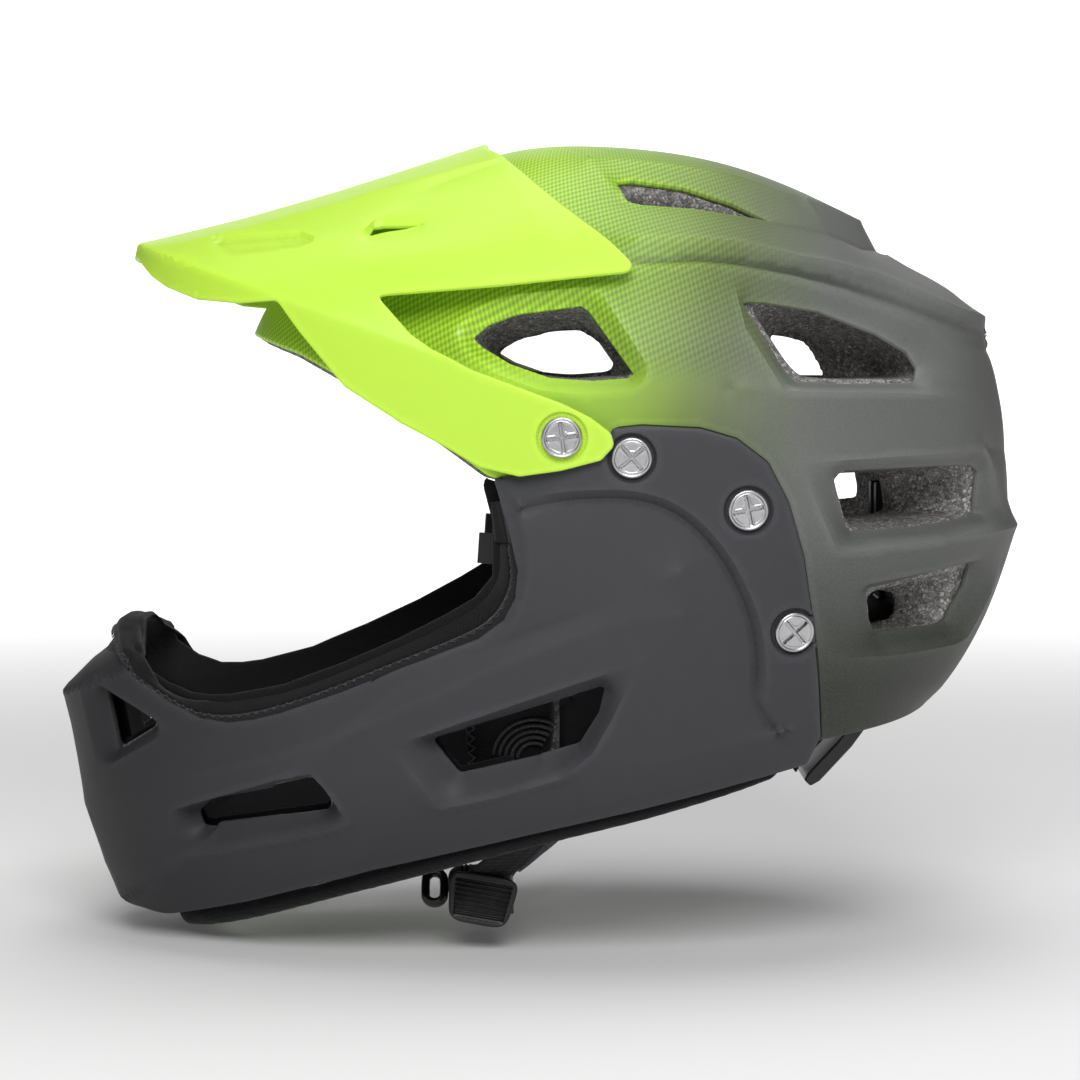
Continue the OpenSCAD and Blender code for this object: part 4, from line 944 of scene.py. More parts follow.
bar_sheet = Sheet(BAR, Line(BAR_EDGE, bar_rim, closed=True), bar_lines(), grid=3.0, fine=1.4, reach=7)
bar_h = calm_seam(bar_sheet, bar_sheet.smooth(bar_sheet.field(30.0), 1, 0.16), 9.0)
# the chin bar's skin, 2.7 mm thick
V, F, UV = bar_sheet.solid(bar_h, 2.7)
bar_o = finish_piece(mesh_obj("bar_skin", V, F, UV, 27), M_BAR, "helmet", ["chin_bar_shell"])

# ---------------------------------------------------------------- peak
def peak_lines():
    c1 = Line([(-192,56.5),(-173.2,57.3),(-160.1,57.1),(-139.1,58.6),(-118,61.7),(-100.6,64.4),(-79.7,67.2),(-58.8,69.6),(-38,72),(-20.6,73.4),(-14,72.6)],
              [0.2,0.2,0.2,0.2,0.2,0.2,0.2,0.2,0.2,0.2,0.2])
    c2 = Line([(-192,69),(-177.8,70.7),(-156.4,72.9),(-137.5,77.5),(-119.8,82.1),(-107.7,85.4),(-87.9,91.6),(-73.7,95.2),(-53.7,100.7)],
              [0.6,0.9,1.3,1.5,1.7,1.8,1.9,1.9,1.7])
    c3 = Line([(-80,79.4),(-59,82.1),(-38,86.4),(-31,87.2)], [-1.4,-0.6,0.0,0.2])
    c4 = Line([(-101,74.6),(-94.4,81.7),(-87.5,85.4),(-73.6,92.8),(-63,96.5),(-51.2,100.6)], [0.4,0.2,0.2,0.4,0.6,0.9])
    pan = Line([(-156.3,72.2),(-153.6,73.6),(-122.6,75.4),(-115.2,72.4),(-122.1,69.9),(-146.3,66.9),(-150,67.7)],
               [0.9,0.9,0.8,0.7,0.5,0.5,0.6], closed=True)
    pin = Line([(-152.6,71.9),(-151.6,72.4),(-123,74.0),(-118.6,72.4),(-123.4,71.0),(-146.1,68.4),(-149,68.9)], -0.35, closed=True)
    slot = Line(fillet([(-99.3,74.8),(-97,78.6),(-93.5,79.6),(-77.6,79.4),(-85.3,77.4),(-92.3,76.4)], 1.2), -1.7, hole=True)
    return [c1, c2, c3, c4, pan, pin, slot,
            Line(circle(PIVOT, 9.0), 0.5, closed=True), Line(circle(PIVOT, 8.1), -0.5, closed=True), Line(circle(PIVOT, 4.0, 20), -0.5, closed=True)]


peak_keep = Line(fillet(PEAK_EDGE, 2.4), None, closed=True)
peak_sheet = Sheet(PEAK, peak_keep, peak_lines(), grid=3.0, fine=1.4, reach=7)
peak_h = calm_seam(peak_sheet, peak_sheet.smooth(peak_sheet.field(14.0), 1, 0.10))
V, F, UV = peak_sheet.solid(peak_h, 2.3)
peak_o = finish_piece(mesh_obj("peak_skin", V, F, UV, 22), M_LIME, "visor", ["visor"])

# ---------------------------------------------------------------- solids by cutting
def raw(name, V, F):
    me = bpy.data.meshes.new(name)
    me.from_pydata((np.asarray(V, float)*0.001).tolist(), [], [list(map(int, f)) for f in F])
    me.validate(); me.update()
    o = bpy.data.objects.new(name, me); coll.objects.link(o)
    return o


def prism(poly, y0, y1):
    """Solid between two widths, for an outline in the side view."""
    p = arr(poly); n = len(p)
    if np.sum(p[:, 0]*np.roll(p[:, 1], -1) - np.roll(p[:, 0], -1)*p[:, 1]) < 0: p = p[::-1]
    V = np.vstack([np.c_[p[:, 0], np.full(n, y0), p[:, 1]], np.c_[p[:, 0], np.full(n, y1), p[:, 1]]])
    F = [list(range(n)), list(range(2*n - 1, n - 1, -1))]
    F += [[(i + 1) % n, i, i + n, (i + 1) % n + n] for i in range(n)]
    return V, F


def both_sides(VF):
    V, F = VF; n = len(V)
    return np.vstack([V, arr(V)*[1, -1, 1]]), [list(f) for f in F] + [[i + n for i in f][::-1] for f in F]


def hull_of(*rings):
    bm = bmesh.new()
    for p in np.vstack(rings): bm.verts.new(p)
    r = bmesh.ops.convex_hull(bm, input=bm.verts)
    bmesh.ops.delete(bm, geom=[g for g in r["geom_interior"] if isinstance(g, bmesh.types.BMVert)], context="VERTS")
    bm.verts.index_update()
    V = arr([v.co[:] for v in bm.verts]); F = [[v.index for v in f.verts] for f in bm.faces]
    bm.free()
    return V, F


def carve(o, *cuts, op="DIFFERENCE"):
    """Cuts the given solids from the object, or keeps what is common, and applies the result."""
    for V, F in cuts:
        c = raw("cutter", V, F)
        bm = bmesh.new(); bm.from_mesh(c.data); bmesh.ops.recalc_face_normals(bm, faces=bm.faces)
        bm.to_mesh(c.data); bm.free()
        m = o.modifiers.new("cut", "BOOLEAN"); m.operation = op; m.solver = "MANIFOLD"; m.object = c
        apply_all(o)
        bpy.data.objects.remove(c)
    return o


def apply_all(o):
    dg = bpy.context.evaluated_depsgraph_get(); dg.update()
    me = bpy.data.meshes.new_from_object(o.evaluated_get(dg))
    o.modifiers.clear()
    old = o.data; o.data = me
    bpy.data.meshes.remove(old)
    return o


def soften(o, voxel, times=6, f=0.5):
    """Rounds the edges of a cut solid by remeshing it evenly."""
    m = o.modifiers.new("even", "REMESH"); m.mode = "VOXEL"; m.voxel_size = voxel*0.001; m.use_smooth_shade = True
    m = o.modifiers.new("soft", "SMOOTH"); m.factor = f; m.iterations = times
    apply_all(o)
    o.data.shade_smooth()
    return o


def even(o, voxel):
    m = o.modifiers.new("even", "REMESH"); m.mode = "VOXEL"; m.voxel_size = voxel*0.001
    return apply_all(o)


def spread(src, values, targets, k=3):
    """Values known at flat points, carried to other flat points."""
    kd = kdtree.KDTree(len(src))
    for i, p in enumerate(src.tolist()): kd.insert((p[0], p[1], 0), i)
    kd.balance()
    out = np.empty(len(targets))
    for i, p in enumerate(targets.tolist()):
        r = kd.find_n((p[0], p[1], 0), k)
        w = [1/(d*d + 0.05) for _, _, d in r]
        out[i] = sum(a*values[q[1]] for a, q in zip(w, r))/sum(w)
    return out


def on_form(form, pts, lift=0.0):
    """Points of a side-view outline on the near side of a form."""
    uv = form.side_uv(arr(pts)); a, sg = form.from_uv(uv)
    P = form.at(a, np.minimum(sg, 1.0))
    return P + form.normal(P)*lift


# ---------------------------------------------------------------- foam liner
full = Sheet(SHELL, None, [], grid=3.4, fine=3.4)
lh = spread(shell_sheet.uv, shell_h, full.uv) - 2.95
V, F = full.closed(lh)
liner = raw("liner_foam", V, F)
BELOW = [(-260, 58)] + [(x + (-1 if x < -50 else 1), z + (-2 if x < -50 else 1)) for x, z in RIM] + [(260,-80),(260,-260),(-260,-260)]
hf = Sheet(HEAD, None, [], grid=5, fine=5)
cuts = [hf.closed(np.zeros(len(hf.uv))), prism(BELOW, -130, 130)]


def vent_cut(outer, inner, y):
    ring = on_form(SHELL, resample(fillet(outer, 4), 3), 3.0)
    q = arr(inner); q = np.c_[q[:, 0], np.full(len(q), -y), q[:, 1]]
    m = ring + [0, 0, 0]
    return both_sides(hull_of(m, q))


cuts += [vent_cut(VENT_A, VENT_A_IN, 56), vent_cut(VENT_B, VENT_B_IN, 42), vent_cut(VENT_C, VENT_C_IN, 40), vent_cut(VENT_D, VENT_D_IN, 50)]
ring = on_form(SHELL, resample(fillet(SLOT, 2), 2), 4.0)
down = np.c_[ring[:, 0]*0.72, ring[:, 1]*0.80, np.full(len(ring), 56.0)]
cuts.append(both_sides(hull_of(ring, down)))
cuts.append(([(70,-50,-130),(110,-50,-130),(110,50,-130),(70,50,-130),(70,-50,-50),(110,-50,-50),(110,50,-50),(70,50,-50)],
             [(0,3,2,1),(4,5,6,7),(0,1,5,4),(1,2,6,5),(2,3,7,6),(3,0,4,7)]))
carve(liner, *cuts)
soften(liner, 1.9, 3, 0.45)
finish_piece(liner, M_FOAM, "helmet", ["eps_liner"])

# ---------------------------------------------------------------- chin bar foam
full = Sheet(BAR, None, [], grid=3.4, fine=3.4)
bh = spread(bar_sheet.uv, bar_h, full.uv) - 3.05
V, F = full.closed(bh)
bfoam = raw("guard_foam", V, F)
even(bfoam, 1.7)
inner = Sheet(bar_form(14.7), None, [], grid=4, fine=4)
carve(bfoam, both_sides(prism(fillet(VENT_F, 3), -120, -30)), both_sides(prism(fillet(VENT_G, 2.5), -120, -30)),
      both_sides(prism(fillet(VENT_H, 2), -120, -20)), inner.closed(np.zeros(len(inner.uv))))
carve(bfoam, prism(FOAM_EDGE, -130, 130), op="INTERSECT")
soften(bfoam, 1.7, 3, 0.45)
finish_piece(bfoam, M_FOAM, "helmet", ["chin_bar_foam"])


# ---------------------------------------------------------------- swept pieces
def sweep(name, rings, closed_path=False, uv=True):
    """A closed skin over a row of rings (each ring: points in order round the section)."""
    R = arr(rings); n, m = R.shape[:2]
    V = R.reshape(-1, 3)
    F = []
    for i in range(n if closed_path else n - 1):
        a, b = i*m, ((i + 1) % n)*m
        for j in range(m): F.append((a + j, a + (j + 1) % m, b + (j + 1) % m, b + j))
    if not closed_path:
        c0, c1 = R[0].mean(0), R[-1].mean(0)
        V = np.vstack([V, c0, c1]); k = n*m
        F += [(j, k, (j + 1) % m, j) for j in range(0)]
        F4 = F
        T = [(k, (j + 1) % m, j) for j in range(m)] + [(k + 1, (n - 1)*m + j, (n - 1)*m + (j + 1) % m) for j in range(m)]
        F = F4 + T
    L = np.r_[0, np.cumsum(np.linalg.norm(np.diff(R.mean(1), axis=0), axis=1))]
    W = np.zeros((n, m))
    for i in range(n): W[i] = np.r_[0, np.cumsum(np.linalg.norm(np.diff(R[i], axis=0), axis=1))]
    UV = np.c_[np.repeat(L, m), W.ravel()]
    if not closed_path: UV = np.vstack([UV, [L[0], 0], [L[-1], 0]])
    me = bpy.data.meshes.new(name)
    me.from_pydata((V*0.001).tolist(), [], F)
    bm = bmesh.new(); bm.from_mesh(me); bmesh.ops.recalc_face_normals(bm, faces=bm.faces); bm.to_mesh(me); bm.free()
    lay = me.uv_layers.new(name="UVMap")
    vi = np.empty(len(me.loops), np.int32); me.loops.foreach_get("vertex_index", vi)
    lay.data.foreach_set("uv", (UV*0.001)[vi].astype(np.float32).ravel())
    me.shade_smooth()
    o = bpy.data.objects.new(name, me); coll.objects.link(o)
    return o


def join(name, objs):
    """Joins meshes into one object."""
    bm = bmesh.new()
    for o in objs: bm.from_mesh(o.data)
    me = bpy.data.meshes.new(name); bm.to_mesh(me); bm.free()
    for o in objs: bpy.data.objects.remove(o)
    me.shade_smooth()
    o = bpy.data.objects.new(name, me); coll.objects.link(o)
    return o


def frames(P, W):
    """Tangent, width direction and thickness direction along a path."""
    T = unit(np.gradient(P, axis=0))
    W = unit(W - T*np.sum(W*T, 1, keepdims=True))
    return T, W, np.cross(T, W)


def strap(name, pts, wdirs, wid, th, wave=0.25, seed=0, ends=True):
    """Webbing with rounded selvedges and a slight unevenness."""
    P = smooth_line(pts, 1.6); k = len(P)
    s = np.linspace(0, 1, len(pts)); S = np.linspace(0, 1, k)
    W = np.c_[[np.interp(S, s, arr(wdirs)[:, i]) for i in range(3)]].T
    T, W, N = frames(P, W)
    r = np.random.default_rng(seed); ph = r.uniform(0, 6.28, 4)
    L = np.r_[0, np.cumsum(np.linalg.norm(np.diff(P, axis=0), axis=1))]
    rings = []
    a = np.linspace(0, 2*math.pi, 28, endpoint=False)
    for i in range(k):
        off = wave*(math.sin(L[i]/17 + ph[0]) + 0.5*math.sin(L[i]/7 + ph[1]))
        x = np.sign(np.cos(a))*np.abs(np.cos(a))**0.32*wid/2*(1 + 0.006*math.sin(L[i]/3.1))
        y = np.sign(np.sin(a))*np.abs(np.sin(a))**0.55*th/2
        cup = 0.25*(1 - (2*x/wid)**2)*math.sin(L[i]/23 + ph[2])
        rings.append(P[i] + np.outer(x, W[i]) + np.outer(y + cup + off, N[i]))
    return sweep(name, rings)


def tube(name, path, r, m=8, closed=False, squash=1.0, up=(0, 0, 1)):
    P = arr(path); W = np.tile(arr(up), (len(P), 1))
    if closed:
        T = unit(np.roll(P, -1, 0) - np.roll(P, 1, 0)); W = unit(W - T*np.sum(W*T, 1, keepdims=True)); N = np.cross(T, W)
    else: T, W, N = frames(P, W)
    a = np.linspace(0, 2*math.pi, m, endpoint=False)
    r = np.broadcast_to(r, len(P))
    rings = [P[i] + r[i]*(np.outer(np.cos(a), W[i])*squash + np.outer(np.sin(a), N[i])) for i in range(len(P))]
    return sweep(name, rings, closed_path=closed)


def stitches(path, normals, side, pitch=2.4, amp=0.0, r=0.22, lift=0.1):
    """Short threads along a path; with an amplitude they run as a zig-zag."""
    P = arr(path); L = np.r_[0, np.cumsum(np.linalg.norm(np.diff(P, axis=0), axis=1))]
    n = int(L[-1]/pitch); out = []
    f = lambda A, t: np.array([np.interp(t, L, A[:, i]) for i in range(3)])
    for k in range(n):
        t0, t1 = (k + 0.12)*pitch, (k + 0.88)*pitch
        if amp: t0, t1 = k*pitch, (k + 1)*pitch
        p = []
        for u in np.linspace(0, 1, 6):
            t = t0 + (t1 - t0)*u
            q = f(P, t) + f(normals, t)*(lift + r*1.5*math.sin(math.pi*u))
            if amp: q = q + f(side, t)*amp*((2*u - 1) if k % 2 else (1 - 2*u))
            p.append(q)
        out.append(tube("st", p, r, 6))
    return out


# ---------------------------------------------------------------- lining
lin_sheet = Sheet(bar_form(15.0), Line(fillet(LINING_EDGE, 4), closed=True),
                  [Line(fillet(VENT_F, 4), -0.6, hole=True), Line(fillet(VENT_G, 3), -0.6, hole=True), Line(fillet(VENT_H, 2), -0.6, hole=True)],
                  grid=2.6, fine=2.0)
a_, s_ = lin_sheet.form.from_uv(lin_sheet.uv)
quilt = 0.25*np.sin(lin_sheet.uv[:, 0]/9.0)*np.sin(lin_sheet.uv[:, 1]/11.0)
# towards the nose the lining closes up to the bar's front wall
forward = 8.0*step((-lin_sheet.P[:, 0] - 150)/34)*step((lin_sheet.P[:, 2] + 98)/18)
V, F, UV = lin_sheet.solid(lin_sheet.field(10) + quilt + forward, 3.9, seg=6, bulge=1.0)
lining = mesh_obj("lining_knit", V, F, UV, 50)
sb = Sheet(shell_form(-1.0), None, [], grid=5, fine=5)
blk = raw("blk", *sb.closed(np.zeros(len(sb.uv))))
carve(blk, prism([(x, z - 2.8) for x, z in [(-260, 60)] + RIM + [(260,-80),(260,-260),(-260,-260)]], -140, 140))
m = lining.modifiers.new("cut", "BOOLEAN"); m.operation = "DIFFERENCE"; m.solver = "MANIFOLD"; m.object = blk
apply_all(lining); bpy.data.objects.remove(blk)
lining.data.shade_smooth(); lining.data.set_sharp_from_angle(angle=math.radians(55))
finish_piece(lining, M_LINING, "helmet", ["chin_bar_lining"])

# bound edge between the guard's rim and the lining's ridge
rimA = smooth_line([(-207,-75.6),(-199,-76.2),(-192,-80.3),(-184.7,-86.8),(-172.5,-95),(-161,-99.8),(-150,-101),(-140,-99.3),(-130,-96.3),(-108,-88),(-87,-79),(-59,-68),
                    (-49.5,-61),(-45,-52),(-44,-42),(-46.5,-30),(-50,-18)], 1.0)
rimB = smooth_line([(-205,-65.4),(-199,-65.6),(-189,-65.8),(-186.8,-68.6),(-184.8,-73.6),(-179.9,-81.4),(-174.3,-88.7),(-166,-92.5),(-158,-92.9),(-150,-92.2),(-130,-88.2),(-108,-79.5),
                    (-87,-70),(-70,-61),(-60,-55),(-53.5,-46.5),(-52.5,-36),(-53,-26),(-54,-19)], 1.0)
K = 240
rs = lambda q: np.c_[[np.interp(np.linspace(0, 1, K), np.linspace(0, 1, len(q)), q[:, i]) for i in range(2)]].T
bf3, bf15 = bar_form(3.2), bar_form(16.5)
def even_path(P, n=K):
    L = np.r_[0, np.cumsum(np.linalg.norm(np.diff(P, axis=0), axis=1))]
    return np.c_[[np.interp(np.linspace(0, L[-1], n), L, P[:, i]) for i in range(3)]].T


def inner(q):
    w = step((-q[:, 0] - 150)/36)[:, None]
    return on_form(bf15, q)*(1 - w) + on_form(bar_form(5.4), q)*w


A, B = [on_form(bf3, rs(rimA)), inner(rs(rimB))]
A, B = even_path(A[np.abs(A[:, 1]) > 0.4]), even_path(B[np.abs(B[:, 1]) > 0.4])
close = step((-A[:, 0] - 160)/26)
up = unit(np.cross(unit(np.gradient(A, axis=0)), unit(B - A)))
out = unit(np.c_[A[:, 0] + 80, 1.3*A[:, 1], np.zeros(K)]) + [0, 0, 0.9]
up *= np.sign(np.einsum("ij,ij->i", up, out))[:, None]
rows = []
for t in np.linspace(0, 1, 9):
    w = math.sin(math.pi*min(1, t*1.1))**0.7
    rows.append(A + (B - A)*t + up*((1.1 + 1.8*close)*w + 0.1)[:, None] + np.outer(close*w, [-2.4, 0, 2.8]))
# from the left cheek round the nose to the right cheek, in two sewn bands
for nm, k0, k1, mat in (("lining_binding", 0, 4, M_BIND), ("lining_ridge", 3, 9, M_LINING)):
    rings = []
    for i in range(len(A)):
        top = arr([r[i] for r in rows[k0:k1]]); w = np.linspace(0, 1, len(top))
        if nm == "lining_binding": top = top + np.outer(0.9*np.sin(math.pi*w)**0.6, up[i])
        bot = top[::-1] - up[i]*2.0
        rings.append(np.vstack([top, bot]))
    left = arr(rings)
    band = np.vstack([left[::-1], left*[1, -1, 1]])
    o = sweep(nm, band)
    finish_piece(o, mat, "helmet")
sts = []
mid = rows[2] + up*0.9; sd = unit(B - A)
for sgn in (1, -1):
    q = arr([1, sgn, 1])
    sts += stitches(mid*q, up*q, sd*q, 1.8, 1.0, 0.17, 0.1)
seam = join("binding_stitches", sts)
finish_piece(seam, M_THREAD, "helmet")

# ---------------------------------------------------------------- pads
def half_roll(name, mirror):
    line = smooth_line([(48,-113.6),(18,-123.6),(-52,-142.6),(-99,-157),(-144,-171.6),(-167,-177.4),(-178,-179.5)], 2.0)
    line = np.asarray(line, float)
    lift = 7*np.clip((-line[:, 0] - 110)/50, 0, 1)
    P = on_form(bar_form(6.2), line + np.c_[0*lift, lift]); P[:, 2] -= lift
    P = P[np.abs(P[:, 1]) > 11]
    T, W, N = frames(P, np.tile([0, 1.0, 0], (len(P), 1)))
    n = len(P); rings = []
    a = np.linspace(0, 2*math.pi, 24, endpoint=False)
    L = np.r_[0, np.cumsum(np.linalg.norm(np.diff(P, axis=0), axis=1))]
    for i in range(n):
        e = min(1.0, math.sqrt(max(0.0, min(L[i], L[-1] - L[i])/5.0)))*0.98 + 0.02
        e *= (1 - 0.035*(1 + math.sin(L[i]/13))/2)*(1 + 0.3*np.clip((-P[i, 0] - 120)/45, 0, 1))
        x = np.sign(np.cos(a))*np.abs(np.cos(a))**0.75*4.6*e; y = np.sign(np.sin(a))*np.abs(np.sin(a))**0.8*3.5*e
        rings.append(P[i] + np.outer(x, W[i]) + np.outer(y, N[i]))
    R = arr(rings)
    if mirror: R = R*[1, -1, 1]
    return sweep(name, R), P, W, N


def soft(o, cap, voxel=3.2, pressure=4.0, shrink=0.4):
    """Swells a pad as sewn fabric under a little pressure, within a limit."""
    m = o.modifiers.new("even", "REMESH"); m.mode = "VOXEL"; m.voxel_size = voxel*0.001
    apply_all(o)
    co = np.empty(len(o.data.vertices)*3, np.float32); o.data.vertices.foreach_get("co", co)
    base = co.reshape(-1, 3).copy()
    no = np.array([v.normal[:] for v in o.data.vertices])
    start = base - no*shrink*0.001
    o.data.vertices.foreach_set("co", start.astype(np.float32).ravel()); o.data.update()
    c = o.modifiers.new("cloth", "CLOTH")
    c.settings.use_pressure = True; c.settings.uniform_pressure_force = pressure
    c.settings.effector_weights.gravity = 0; c.settings.quality = 4; c.settings.mass = 0.2
    c.settings.tension_stiffness = 25; c.settings.compression_stiffness = 25; c.settings.bending_stiffness = 2
    c.collision_settings.use_collision = False
    c.point_cache.frame_start, c.point_cache.frame_end = 1, 20
    for f in range(1, 21): scene.frame_set(f)
    dg = bpy.context.evaluated_depsgraph_get()
    e = o.evaluated_get(dg).data
    q = np.empty(len(e.vertices)*3, np.float32); e.vertices.foreach_get("co", q); q = q.reshape(-1, 3)
    o.modifiers.clear(); scene.frame_set(1)
    d = q - base; n = np.linalg.norm(d, axis=1, keepdims=True)
    q = base + d*np.minimum(1, cap*0.001/np.maximum(n, 1e-9))
    o.data.vertices.foreach_set("co", q.astype(np.float32).ravel())
    s = o.modifiers.new("sub", "SUBSURF"); s.levels = s.render_levels = 1
    apply_all(o); o.data.shade_smooth()
    return o


for nm, mir in (("lower_pad_left", False), ("lower_pad_right", True)):
    o, P, W, N = half_roll(nm + "_soft", mir)
    soft(o, 0.5, 2.0, 3.0, 0.3)
    finish_piece(o, M_PAD, "helmet", [nm])

CHEEK = fillet([(-64,-82),(-54,-79),(-38,-77),(-35,-81),(-35,-112),(-40,-116),(-52,-119),(-63,-117)], 7)
cs = Sheet(bar_form(23.0), Line(CHEEK, closed=True), [], grid=2.6, fine=2.6)
d_, _ = near_line(cs.uv, cs.lines[0][1], cs.lines[0][2], True, 40)
V, F, UV = cs.solid(1.2*np.minimum(1, d_/14)**0.5 - 1.0, 13.0, seg=9, bulge=0.55)
for nm, near in (("cheek_pad_left", True), ("cheek_pad_right", False)):
    v, f, u = one_side(V, F, UV, near)
    o = mesh_obj(nm + "_soft", v, f, u, 80)
    soft(o, 1.6, 3.4, 4.0, 0.8)
    finish_piece(o, M_PAD, "helmet", [nm])

# zig-zag seam and curved ribs on the pads' outer faces
for sgn in (1, -1):
    f0 = bar_form(22.6)
    sts = []
    p = on_form(f0, [(-62.5, z) for z in np.arange(-97, -119, -1.0)])
    n = f0.normal(p); sd = np.tile([1.0, 0, 0], (len(p), 1)); q = arr([1, sgn, 1])
    sts += stitches(p*q, n*q, sd*q, 1.9, 1.3, 0.22, 0.1)
    for rad in (6, 8.2, 10.4, 12.6, 14.8):
        w = np.radians(np.arange(60, 178, 6))
        pts = np.c_[-40 + rad*np.cos(w), -112 + rad*np.sin(w)]
        p = on_form(f0, pts); n = f0.normal(p)
        sts.append(tube("rib", (p + n*0.2)*q, 0.55, 8))
    o = join("cheek_seam_left" if sgn == 1 else "cheek_seam_right", sts)
    finish_piece(o, M_THREAD, "helmet")

BROW = fillet([(-150,23.2),(-87,23.2),(-84.5,26),(-83.5,35),(-86,38),(-150,38)], 3)
bs = Sheet(head_form(1.0), Line(BROW, closed=True), [], grid=2.4, fine=2.4)
V, F, UV = bs.solid(0.0, 5.6, seg=7, bulge=0.7)
o = mesh_obj("brow_pad_soft", V, F, UV, 80)
soft(o, 0.9, 2.4, 4.0, 0.5)
finish_piece(o, M_PAD, "helmet", ["brow_pad"])


def pillow(x0, x1, y0, y1):
    nu, nv = int((x1 - x0)/1.6), int((y1 - y0)/1.6)
    U, Vv = np.meshgrid(np.linspace(-1, 1, nu), np.linspace(-1, 1, nv), indexing="ij")
    # squared circle, so the corners are round
    e = np.clip((1 - np.abs(U)**5)*(1 - np.abs(Vv)**5), 0, 1)
    X = (x0 + x1)/2 + U*(x1 - x0)/2*(1 - 0.06*np.abs(Vv)**4); Y = (y0 + y1)/2 + Vv*(y1 - y0)/2*(1 - 0.06*np.abs(U)**4)
    uv = HEAD.plan_uv(np.c_[X.ravel(), -np.abs(Y.ravel())]); a, sg = HEAD.from_uv(uv)
    P = HEAD.at(a, np.minimum(sg, 1)); P[:, 1] *= np.where(Y.ravel() > 0, -1, 1)
    N = HEAD.normal(P)
    ht = (2.5*e**0.45).ravel()
    A, B = P - N*(3.7 - ht)[:, None], P - N*(3.7 + ht)[:, None]
    n = nu*nv
    F = []
    idx = lambda i, j: i*nv + j
    for i in range(nu - 1):
        for j in range(nv - 1):
            q = (idx(i, j), idx(i + 1, j), idx(i + 1, j + 1), idx(i, j + 1))
            F.append(q); F.append(tuple(k + n for k in q[::-1]))
    return np.vstack([A, B]), F


ps = []
for b in ((-59, 49, -6.6, 6.6), (-58.5, -45.5, -50.5, -21.5), (-58.5, -45.5, 21.5, 50.5), (27.5, 40.5, -50.5, -21.5), (27.5, 40.5, 21.5, 50.5)):
    V, F = pillow(*b)
    o = raw("pillow", V, F)
    bm = bmesh.new(); bm.from_mesh(o.data); bmesh.ops.remove_doubles(bm, verts=bm.verts, dist=2e-5)
    bmesh.ops.recalc_face_normals(bm, faces=bm.faces); bm.to_mesh(o.data); bm.free()
    ps.append(o)
o = join("crown_pads_soft", ps)
soft(o, 0.6, 2.2, 3.0, 0.3)
finish_piece(o, M_PAD, "helmet", ["crown_pads"])

# ---------------------------------------------------------------- webbing
FRONT = [(-22,-77.2,-2),(-20,-77.4,-12),(-14,-77.8,-34),(-5,-78,-58),(2,-77.2,-80),(8,-75.2,-97)]
REAR = [(35,-71.7,-16),(33,-72.9,-32),(28,-73.9,-52),(21,-74.3,-72),(13.5,-73.3,-91),(11,-72.9,-97)]
CHIN = [(9,-73,-104),(2,-71,-114),(-10,-67,-122.5),(-25,-61,-132),(-40,-54.5,-143),(-51.5,-50,-153.5),(-59,-46.5,-159.8)]
FAR = [(9,73,-104),(2,71,-115),(-11,66,-128),(-24,59,-140),(-37,49,-152),(-48,37,-162),(-55,24,-170),(-59,10,-175),(-60,-2,-176.5),(-60,-14,-174.8)]
PADP = [(-22,-59,-127.5),(-34,-53.5,-137),(-44,-49.5,-145.5),(-52,-47,-152)]
mir = lambda p: [(x, -y, z) for x, y, z in p]
for nm, p, w, sd in (("front_webbing_left", FRONT, (1, 0.02, 0.3), 1), ("rear_webbing_left", REAR, (1, 0.02, -0.3), 2)):
    for q, n2, k in ((p, nm, 0), (mir(p), nm.replace("left", "right"), 5)):
        o = strap(n2 + "_web", q, [w]*len(q), 15, 1.6, 0.12, sd + k)
        finish_piece(o, M_WEB, "helmet", [n2])
o = strap("chin_strap_left_web", CHIN, [(1, 0.1*i/6, 0.75 - 0.6*i/6) for i in range(7)], 15, 1.6, 0.12, 11)
finish_piece(o, M_WEB, "helmet", ["chin_strap_left"])
o = strap("chin_strap_right_web", FAR, [(1, -0.1*min(1, i/5), 0.75 - 0.75*min(1, i/5)) for i in range(10)], 15, 1.6, 0.12, 12)
o.data.materials.clear(); o.data.materials.append(M_WEB)
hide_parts("chin_strap_right")
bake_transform(o)
o = strap("chin_strap_pad_felt", PADP, [(1, 0, 0.35)]*4, 21, 2.6, 0.1, 13)
finish_piece(o, M_FELT, "helmet", ["chin_strap_pad"])


# ---------------------------------------------------------------- screws
def screw_head(R=7.0, H=2.2, nr=52, na=144, turn=0.0):
    r = np.r_[0.0001, np.linspace(0.12, R - 0.5, nr - 8), R - 0.38, R - 0.26, R - 0.15, R - 0.06, R, R, R]
    a = np.linspace(0, 2*math.pi, na, endpoint=False)
    RR, AA = np.meshgrid(r, a, indexing="ij")
    X, Y = RR*np.cos(AA), RR*np.sin(AA)
    c, s = math.cos(turn), math.sin(turn)
    x, y = c*X + s*Y, -s*X + c*Y
    Z = H - 0.10*(RR/R)**2
    edge = np.clip((RR - (R - 0.55))/0.55, 0, 1); Z = Z - 0.45*edge**2
    slot = lambda d, hw, w: 1 - step((np.abs(d) - hw)/w)
    cut = np.maximum(slot(x, 0.44, 0.16), slot(y, 0.44, 0.16))*(1 - step((RR - 5.2)/0.3))
    quad = (1 - step((1.35 - np.minimum(np.abs(x), np.abs(y)))/0.3))*(1 - step((RR - 4.9)/0.3))*step((RR - 2.3)/0.3)
    ring = np.exp(-((RR - 5.95)/0.16)**2)
    Z = Z - 1.7*cut - 0.10*quad*(1 - cut) - 0.25*ring
    Z[-2] = 0.9; Z[-1] = 0.0
    P = np.stack([X, Y, Z], -1)
    return P, nr - 1


